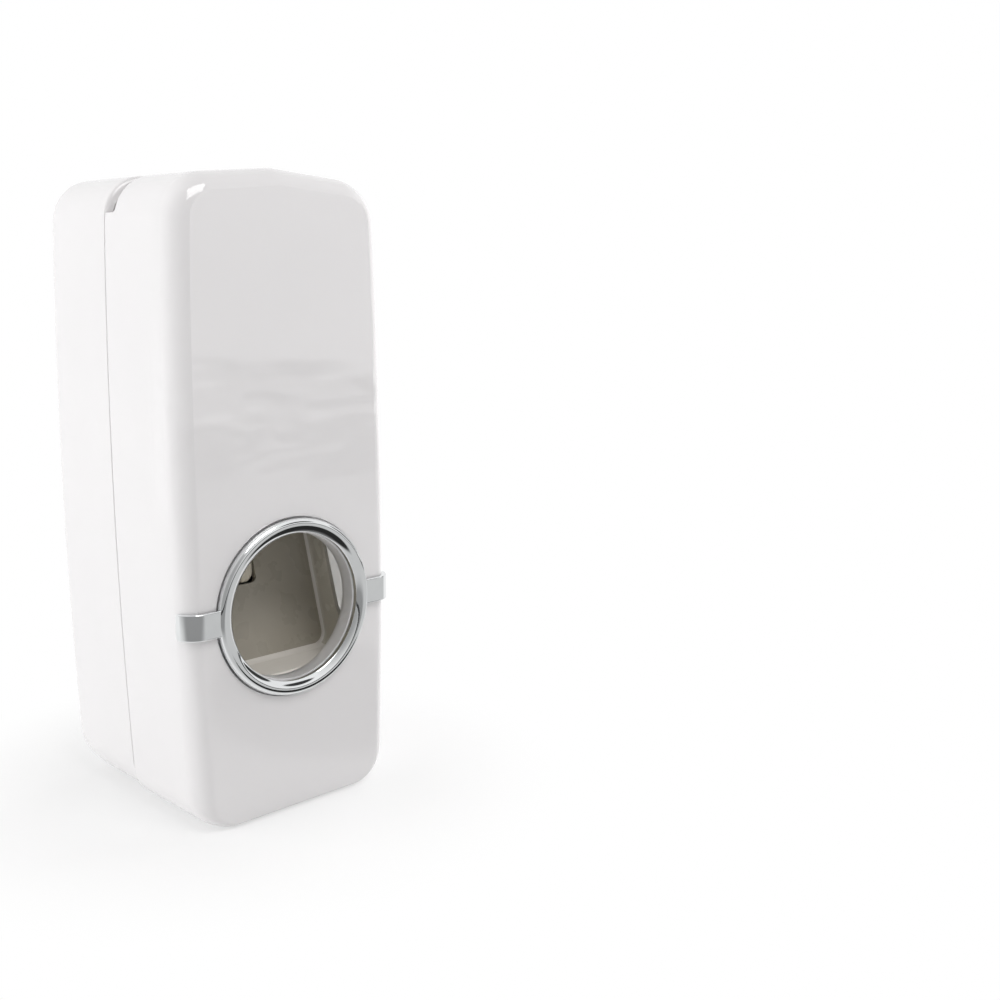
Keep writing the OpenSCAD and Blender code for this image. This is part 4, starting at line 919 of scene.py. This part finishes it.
# Push scoop, built in its own leaning frame and then set in place. The pivot is that frame's origin, and
# heights are negative because the scoop hangs from it.
PIVOT_Y, PIVOT_Z = 1.19, 77.0
LEAN = radians(15.7)
PLATE_FRONT = -2.77
PLATE_BACK = -1.17
SCOOP_HALF = 21.5
SCOOP_LOW = -44.9
SCOOP_CORNER_R = 4.4
SCOOP_WALL = 1.5
SCOOP_FILLET = 1.1
ARM_LOW = 10.9
ARM_IN = 13.0
KNUCKLE_END = 23.0
KNUCKLE = ((3.2, 0.3), (3.2, 9.7), (2.9, 10), (1.85, 10), (1.55, 9.7), (1.55, 0.3), (1.85, 0), (2.9, 0))
RIM_FULL_Z = -17.8
RIM_DEEP = 5.9
RIM_GROWTH = 0.7
RIM_LENGTH = 28.6
LEDGE_OUT = 4.1
LEDGE_Z = -44
WINDOW_HALF = 3.4
WINDOW_CORNER = 1.6
THROAT_HALF = 4.8
THROAT_CORNER = 0.7
NOZZLE_Z = 54.3
SPRING_X = 17
SPRING_DOWN = -28
SPRING_END_Y = 14.75
SPRING_BOSS_R = 3.55
BULB_DOWN = -34
BULB_BOSS_R = 4.0
BOSS_STEPS = 48

# Material slots of the scoop. They carry one plastic in three tones of painted shade and painted light.
PLATE, WALLS, LEDGE = 0, 1, 2


def lean(p):
    """Puts a point of the leaning frame in place."""
    x, y, z = p
    sin_lean, cos_lean = sin(LEAN), cos(LEAN)
    return (x, PIVOT_Y + y * cos_lean + z * sin_lean, PIVOT_Z - y * sin_lean + z * cos_lean)


SPRING_PAD_Y = lean((0, PLATE_BACK, SPRING_DOWN))[1] + 1.5
SPRING_Z = lean((0, PLATE_BACK, SPRING_DOWN))[2]


def scoop_path(grow):
    """Open path down one side, round the ledge and up the other, as (x, z)."""
    half, r, low = SCOOP_HALF + grow, SCOOP_CORNER_R + grow, SCOOP_LOW - grow
    heights = (0, -4, -8, -10.9, -12, -13.5, -15, -16.4, -17.4, -18.2, -20, -25, -30, -35)
    side = [(half, z) for z in heights]
    side += arc(half - r, low + r, r, spread(0, -90, 16))
    side += [(x, low) for x in (12, 6)]
    return side + [(0, low)] + [(-x, z) for x, z in side[::-1]]


def rim_y(z):
    """Front edge of the scoop's walls at a height: it rises from the plate, stays nearly upright, and
    comes forward at the foot to meet the ledge's front."""
    if z > -ARM_LOW:
        return PLATE_FRONT
    if z > RIM_FULL_Z:
        share = (z + ARM_LOW) / (RIM_FULL_Z + ARM_LOW)
        return PLATE_FRONT - RIM_DEEP * (share - 0.08 * sin(2 * pi * share))
    growth = RIM_GROWTH * (RIM_FULL_Z - z) / RIM_LENGTH
    return PLATE_FRONT - RIM_DEEP - growth - LEDGE_OUT * smooth_step(-36, SCOOP_LOW, z)


def set_scoop(x, y, z):
    """Puts a point of the scoop in place, with its ledge turned level so that it faces up."""
    level = smooth_step(-37, SCOOP_LOW, z) * max(PLATE_FRONT - y, 0.0)
    return lean((x, y, z - level * tan(LEAN)))


def fillet_depth(s):
    """Depth at an angle of the fillet between wall and plate, which is smaller where the wall is low."""
    def depth(z):
        room = min(SCOOP_FILLET, PLATE_FRONT - rim_y(z))
        return PLATE_FRONT - room * (1 - sin(s))

    return depth


def scoop_loops():
    """From the plate's back over the outside, the rim and the inside to the plate's front."""
    section = [
        (1.25, lambda z: PLATE_BACK),
        (SCOOP_WALL, lambda z: PLATE_BACK - 0.25),
        (SCOOP_WALL, lambda z: min(PLATE_BACK - 0.5, rim_y(z) + 0.35)),
        (1.3, rim_y),
        (0.95, lambda z: rim_y(z) - 0.12),
        (0.55, lambda z: rim_y(z) - 0.12),
        (0.2, rim_y),
        (0, lambda z: min(rim_y(z) + 0.35, PLATE_FRONT)),
    ]
    section += [(-SCOOP_FILLET * (1 - cos(s)) - 0.01, fillet_depth(s)) for s in spread(0, QUARTER, 6)]
    return [[set_scoop(x, depth(z), z) for x, z in scoop_path(grow)] for grow, depth in section]


def notch_points():
    """Edge of the plate between the arms: down an arm, along the throat, round the window and up again."""
    window_low = -(PIVOT_Z - NOZZLE_Z + 1.2 + PLATE_FRONT * sin(LEAN)) / cos(LEAN) - 0.6
    notch = [(-ARM_IN, 0), (-ARM_IN, -ARM_LOW), (-THROAT_HALF, -ARM_LOW), (-THROAT_HALF, -16.2)]
    for a in spread(0, QUARTER, 4):
        x = -WINDOW_HALF - THROAT_CORNER * (1 - sin(a))
        notch.append((x, -17.6 + THROAT_CORNER * cos(a)))
    for a in spread(0, QUARTER, 6):
        x = -WINDOW_HALF + WINDOW_CORNER * (1 - cos(a))
        notch.append((x, window_low + WINDOW_CORNER * (1 - sin(a))))
    return notch + [(-x, z) for x, z in notch[::-1]]


def add_tray(form):
    """Walls, ledge and plate. The plate and the walls' outside take the dark tone of painted shade, the
    walls' inside a lighter tone of painted shade, and the ledge and the fillet the pale tone of painted
    light.
    """
    loops = scoop_loops()
    rows, n = len(loops), len(loops[0])
    outer_strips, fillet_strips = 3, 3
    wall_strips = rows - 1 - outer_strips - fillet_strips
    strips = [PLATE] * outer_strips + [WALLS] * wall_strips + [LEDGE] * fillet_strips
    form.loops(loops, strips, ring=False)
    for i, (x, z) in enumerate(scoop_path(0)[:-1]):
        if z < LEDGE_Z:
            for k in range(outer_strips, rows - 1):
                form.slots[k * (n - 1) + i] = LEDGE
    last = (rows - 1) * n
    notch = notch_points()
    m = len(notch)
    front = form.add([lean((x, PLATE_FRONT, z)) for x, z in notch], [])
    back = form.add([lean((x, PLATE_BACK, z)) for x, z in notch], [])
    form.face([*range(last, last + n), *range(front, front + m)], PLATE)
    form.face([*range(n), *range(back, back + m)], PLATE)
    for k in range(m - 1):
        form.face((front + k, front + k + 1, back + k + 1, back + k), PLATE)
    form.face([k * n for k in range(rows)] + [front + m - 1, back + m - 1], PLATE)
    form.face([k * n + n - 1 for k in range(rows)] + [front, back], PLATE)


def add_boss(form, centre_x, centre_z, section):
    """Round boss on the plate's back, from a section of (radius, depth or function of the height)."""
    loops = []
    for r, depth in section:
        loop = []
        for u, v in circle(r, BOSS_STEPS):
            x, z = centre_x + u, centre_z + v
            loop.append(lean((x, depth(z) if callable(depth) else depth, z)))
        loops.append(loop)
    form.tube(loops)


def upright(y):
    """Depth in the scoop's frame of a face that stands upright at y."""
    return lambda z: (y - PIVOT_Y - z * sin(LEAN)) / cos(LEAN)


def build_scoop():
    form = Form()
    add_tray(form)
    web_root = PLATE_BACK - 0.3
    web = [(web_root, -0.6), (2.5, -0.6), (PLATE_BACK + 0.5, -24), (web_root, -24)]
    for side in (-1, 1):
        knuckle_x = min(side * ARM_IN, side * KNUCKLE_END)
        form.lathe(KNUCKLE, (knuckle_x, PIVOT_Y, PIVOT_Z), "x", steps=48)
        web_start, web_end = sorted((side * (ARM_IN + 1), side * (ARM_IN + 2.5)))
        form.slab(web, web_start, web_end, edge=0.2, move=lean)
        spring_boss = (
            (SPRING_BOSS_R, PLATE_BACK - 0.6),
            (SPRING_BOSS_R, upright(SPRING_PAD_Y - 0.25)),
            (SPRING_BOSS_R - 0.25, upright(SPRING_PAD_Y)),
            (0.6, upright(SPRING_PAD_Y)),
        )
        add_boss(form, side * SPRING_X, SPRING_DOWN, spring_boss)
    bulb_boss = (
        (BULB_BOSS_R, PLATE_BACK - 0.8),
        (BULB_BOSS_R, PLATE_BACK + 1.4),
        (BULB_BOSS_R - 0.18, PLATE_BACK + 1.82),
        (BULB_BOSS_R - 0.6, PLATE_BACK + 2.0),
    )
    add_boss(form, 0, BULB_DOWN, bulb_boss)
    # The three tones are painted shade and painted light on one plastic.
    materials = [scoop_plate_painted_shade, scoop_walls_painted_shade, scoop_ledge_painted_light]
    form.piece("scoop_tray", "scoop", materials, ["push_lever"])


# Return springs: round wire in close end turns and open middle turns.
WIRE_R = 0.35
COIL_R = 2.6
TURNS = 8
TURN_STEPS = 36
WIRE_STEPS = 12


def build_spring(side):
    form = Form()
    start, end = SPRING_PAD_Y + WIRE_R + 0.3, SPRING_END_Y - WIRE_R - 0.05
    close = 2 * WIRE_R + 0.6
    pitch = (end - start - 2 * close) / (TURNS - 2)
    loops = []
    for i in range(TURNS * TURN_STEPS + 1):
        turn = i / TURN_STEPS
        open_turns = min(max(turn - 1, 0), TURNS - 2)
        close_turns = min(turn, 1) + max(turn - TURNS + 1, 0)
        y = start + open_turns * pitch + close_turns * close
        a = 2 * pi * turn
        loop = []
        for u, v in circle(WIRE_R, WIRE_STEPS):
            r = COIL_R + u
            loop.append((side * SPRING_X + r * cos(a), y + v, SPRING_Z + r * sin(a)))
        loops.append(loop)
    form.tube(loops)
    name = "spring_left" if side < 0 else "spring_right"
    spring = form.piece(name, "case", [steel], ["return_springs"])
    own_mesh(spring)


# Pump bulb: a rubber dome that the scoop presses, and its clamped flange.
DOME_R = 8.5
DOME_IN_R = 7.3
DOME_RISE = 2.5
FLANGE_R = 10.9
FLANGE_T = 1.5


def build_bulb():
    y, z = lean((0, PLATE_BACK + 2 + DOME_R + 0.3, BULB_DOWN))[1:]
    face = y + DOME_RISE
    section = [(DOME_R, 0.05 - FLANGE_T)]
    for a in spread(0, radians(88), 22):
        section.append((DOME_R * cos(a), -DOME_RISE - DOME_R * sin(a)))
    dome = Form()
    dome.lathe(section, (0, face, z), "y", steps=72, closed=False)
    dome_piece = dome.piece("bulb_dome", "case", [silicone], ["pump_bulb"])
    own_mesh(dome_piece)
    flange = Form()
    flange.rod(FLANGE_R, (0, face - FLANGE_T, z), face - 0.05, edge=0.3, steps=72, bore=DOME_IN_R)
    flange.piece("bulb_flange", "case", [silicone], ["pump_bulb"])


# Nozzle: a bored barrel under the pump head, with a shoulder and a mouth that is round like a bullet.
BARREL_R = 3.0
BARREL_BORE_R = 1.7
SHOULDER_R = 4.2
SHOULDER_DOWN = 2.25
SHOULDER_T = 1.75
MOUTH_H = 3.2


def build_nozzle():
    low, high = (Vector(corner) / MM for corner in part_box("nozzle"))
    top = high.z - SHOULDER_DOWN
    start = asin(BARREL_BORE_R / BARREL_R)
    section = [(BARREL_BORE_R, low.z + 0.35)]
    for a in spread(start, QUARTER, 14):
        section.append((BARREL_R * sin(a), low.z + MOUTH_H * (cos(start) - cos(a))))
    foot = top - SHOULDER_T
    section += [(BARREL_R, foot), (SHOULDER_R - 0.3, foot), (SHOULDER_R, foot + 0.3)]
    section += [(SHOULDER_R, top - 0.2), (SHOULDER_R - 0.2, top), (BARREL_R, top)]
    section += [(BARREL_R, high.z), (BARREL_BORE_R, high.z)]
    form = Form()
    form.lathe(section, (0, (low.y + high.y) / 2, 0), "z", steps=72)
    form.piece("nozzle_barrel", "case", [nozzle_skin], ["nozzle"])


build_cover()
build_rear()
build_nozzle()
build_ring()
build_scoop()
build_spring(-1)
build_spring(1)
build_bulb()


# The other solids keep their shape and get a finish, and some of them fine edges, in millimetres.
DRESSED = (
    (frame_skin, 0.2, ("chassis",)),
    (frame_skin, 0.15, ("bulb_retainer", "tube_socket")),
    (frame_skin, 0, ("seal_ring",)),
    (pump_skin, 0.2, ("pump_body",)),
    (pump_skin, 0, ("chamber_plug", "channel_plug")),
    (steel, 0, ("chassis_screws", "pump_screws", "socket_screws", "pivot_pins")),
    (dark_steel, 0, ("pin_clips",)),
    (silicone, 0, ("inlet_valve", "outlet_valve", "tube_seal")),
    (black_rubber, 0, ("chamber_seal", "stop_pads")),
)


def add_edges(obj, width):
    """Joins the flat triangles of a solid and rounds its edges."""
    flat = obj.modifiers.new("flat", "DECIMATE")
    flat.decimate_type = "DISSOLVE"
    flat.angle_limit = radians(0.6)
    edges = obj.modifiers.new("edges", "BEVEL")
    edges.width = width * MM
    edges.segments = 2
    edges.limit_method = "ANGLE"
    edges.angle_limit = radians(40)
    edges.harden_normals = False


def dress(obj, mat, edge):
    for slot in obj.material_slots:
        slot.material = mat
    weld = obj.modifiers.new("weld", "WELD")
    weld.merge_threshold = 0.000002
    if edge:
        add_edges(obj, edge)
    for p in obj.data.polygons:
        p.use_smooth = True
    obj.data.set_sharp_from_angle(angle=radians(SHARP_ANGLE))
    add_normals(obj)


for mat, edge, names in DRESSED:
    for name in names:
        dress(nodes[name], mat, edge)


# Stage: a white floor in white surroundings, and three soft lamps. Only reflections see darker things, and
# these give the chrome and the panel their lines: two bands and an oval patch on the floor in front, a dim
# side of the room, and two dark things. Each has a direction, and the cosine of the angle it reaches.
CAMERA_SIDE = (-0.69, -0.70, 0.1)
CAMERA_FLOOR = (-0.62, -0.78, 0)
DARK_THINGS = (((0.56, -0.74, 0.36), 0.98), ((0.93, -0.33, 0.15), 0.975))
ROOM_LIGHT = 0.52
OVAL_PLACE = (0.058, -0.098, 0)
OVAL_TURN = radians(-60)
OVAL_SIZE = (0.06, 0.038, 1)
FLOOR_RINGS = (0.4, 0.8, 1.6, 3.2)
FLOOR_STEPS = 96
WHITE = (1, 1, 1, 1)
LAMP_TARGET = Vector((0, 0, 0.07))


def floor_mesh():
    """A round floor of rings about its middle."""
    n = FLOOR_STEPS
    verts = [(0, 0, 0)]
    for r in FLOOR_RINGS:
        verts += [(x, y, 0) for x, y in circle(r, n)]
    faces = [(0, 1 + i, 1 + (i + 1) % n) for i in range(n)]
    for k in range(len(FLOOR_RINGS) - 1):
        a, b = 1 + k * n, 1 + (k + 1) * n
        faces += [(a + i, b + i, b + (i + 1) % n, a + (i + 1) % n) for i in range(n)]
    mesh = bpy.data.meshes.new("floor")
    mesh.from_pydata(verts, [], faces)
    return mesh


def floor_shade(place, radius):
    """How bright the floor is in reflections."""
    in_front = ramp(along(place, (0, -1, 0)), low=0.03, high=0.09)
    near_band = ramp(radius, low=0.46, high=0.49, start=0.35, end=0.9)
    far_band = ramp(radius, low=0.95, high=1.02, start=0.0, end=-0.9)
    bands = less(product(in_front, math_node("ADD", near_band, far_band)))
    camera_side = ramp(along(place, CAMERA_FLOOR), low=0.1, high=0.19, start=1.0, end=0.5)
    values = {"Vector": place, "Location": OVAL_PLACE, "Rotation": (0, 0, OVAL_TURN), "Scale": OVAL_SIZE}
    oval = new_node(place.id_data, "Mapping", values, vector_type="TEXTURE").outputs[0]
    patch = ramp(reach(oval), low=0.85, high=1.1, start=0.04, end=1.0)
    return product(product(bands, camera_side), patch)


def build_floor():
    """A white floor that takes the object's shadow, and is plain white to the camera further out."""
    mat, shader, place = node_material("floor_white")
    tree = mat.node_tree
    shader.inputs["Base Color"].default_value = (0.9, 0.9, 0.9, 1)
    shader.inputs["Roughness"].default_value = 0.9
    shader.inputs["Specular IOR Level"].default_value = 0.0
    rays = tree.nodes.new("ShaderNodeLightPath").outputs
    radius = reach(place)
    dark = product(less(floor_shade(place, radius)), rays["Is Glossy Ray"])
    white = new_node(tree, "Emission", {"Color": WHITE, "Strength": less(dark)})
    fade = ramp(radius, low=0.04, high=0.09, start=0.55, end=1.0)
    seen = math_node("MAXIMUM", rays["Is Camera Ray"], rays["Is Glossy Ray"])
    out = next(n for n in tree.nodes if n.type == "OUTPUT_MATERIAL")
    blend(product(fade, seen), shader, white, out)
    floor = new_object("floor", floor_mesh())
    floor.data.materials.append(mat)


def build_world():
    """White to the camera, a soft room light on surfaces, and a room with dark parts in reflections."""
    world = bpy.data.worlds.new("room")
    bpy.context.scene.world = world
    world.use_nodes = True
    tree = world.node_tree
    tree.nodes.clear()
    out = tree.nodes.new("ShaderNodeOutputWorld")
    where = tree.nodes.new("ShaderNodeTexCoord").outputs["Generated"]
    rays = tree.nodes.new("ShaderNodeLightPath").outputs
    shade = ramp(along(where, CAMERA_SIDE), low=0.3, high=0.95, start=1.0, end=0.4)
    above = ramp(along(where, (0, 0, 1)), low=-0.2, high=1.0, start=1.0, end=0.88)
    strength = product(product(shade, above), ROOM_LIGHT)
    light = new_node(tree, "Background", {"Color": (1, 0.995, 0.99, 1), "Strength": strength})
    room = shade
    for direction, edge in DARK_THINGS:
        thing = ramp(along(where, direction), low=edge, high=edge + 0.01, start=1.0, end=0.05)
        room = product(room, thing)
    dark = product(less(room), rays["Is Glossy Ray"])
    shown = new_node(tree, "Background", {"Color": WHITE, "Strength": less(dark)})
    seen = math_node("MAXIMUM", rays["Is Camera Ray"], rays["Is Transmission Ray"])
    seen = math_node("MAXIMUM", seen, rays["Is Glossy Ray"])
    blend(seen, light, shown, out)


def lamp(name, place, size, power, colour=(1, 1, 1), mirrored=False):
    """A soft lamp that looks at the object's middle. Only a mirrored one shows in reflections."""
    data = bpy.data.lights.new(name, "AREA")
    data.shape = "RECTANGLE"
    data.size, data.size_y = size
    data.energy = power
    data.color = colour
    obj = new_object(name, data)
    obj.location = place
    obj.visible_glossy = mirrored
    obj.rotation_euler = (LAMP_TARGET - Vector(place)).to_track_quat("-Z", "Y").to_euler()


build_floor()
build_world()
lamp("lamp_left", (-0.72, 0.32, 0.14), (0.9, 0.7), 6.5)
lamp("lamp_right", (0.66, 0.06, 0.24), (0.8, 0.5), 3.6)
lamp("lamp_front", (-0.02, -0.33, 0.5), (0.3, 0.24), 1.08, colour=(1.0, 0.985, 0.985), mirrored=True)

# Camera as fitted to the photograph: its place in millimetres, and the ways that it looks, right and up.
CAMERA_PLACE = Vector((-175.802, -277.818, 134.487))
FORWARD = Vector((0.69299081, 0.69760537, -0.18196286))
RIGHT = Vector((0.70988429, -0.70431027, 0.00336697))
UP = Vector((0.12580950, 0.13150586, 0.98329964))

camera = new_object("camera", bpy.data.cameras.new("camera"))
camera.data.sensor_width = 36
camera.data.lens = 45.4323
camera.data.clip_start = 0.01
camera.data.clip_end = 20
turn = Matrix((RIGHT, UP, -FORWARD)).transposed()
camera.matrix_world = Matrix.Translation(CAMERA_PLACE * MM) @ turn.to_4x4()
bpy.context.scene.camera = camera
bpy.context.scene.view_settings.view_transform = "Standard"
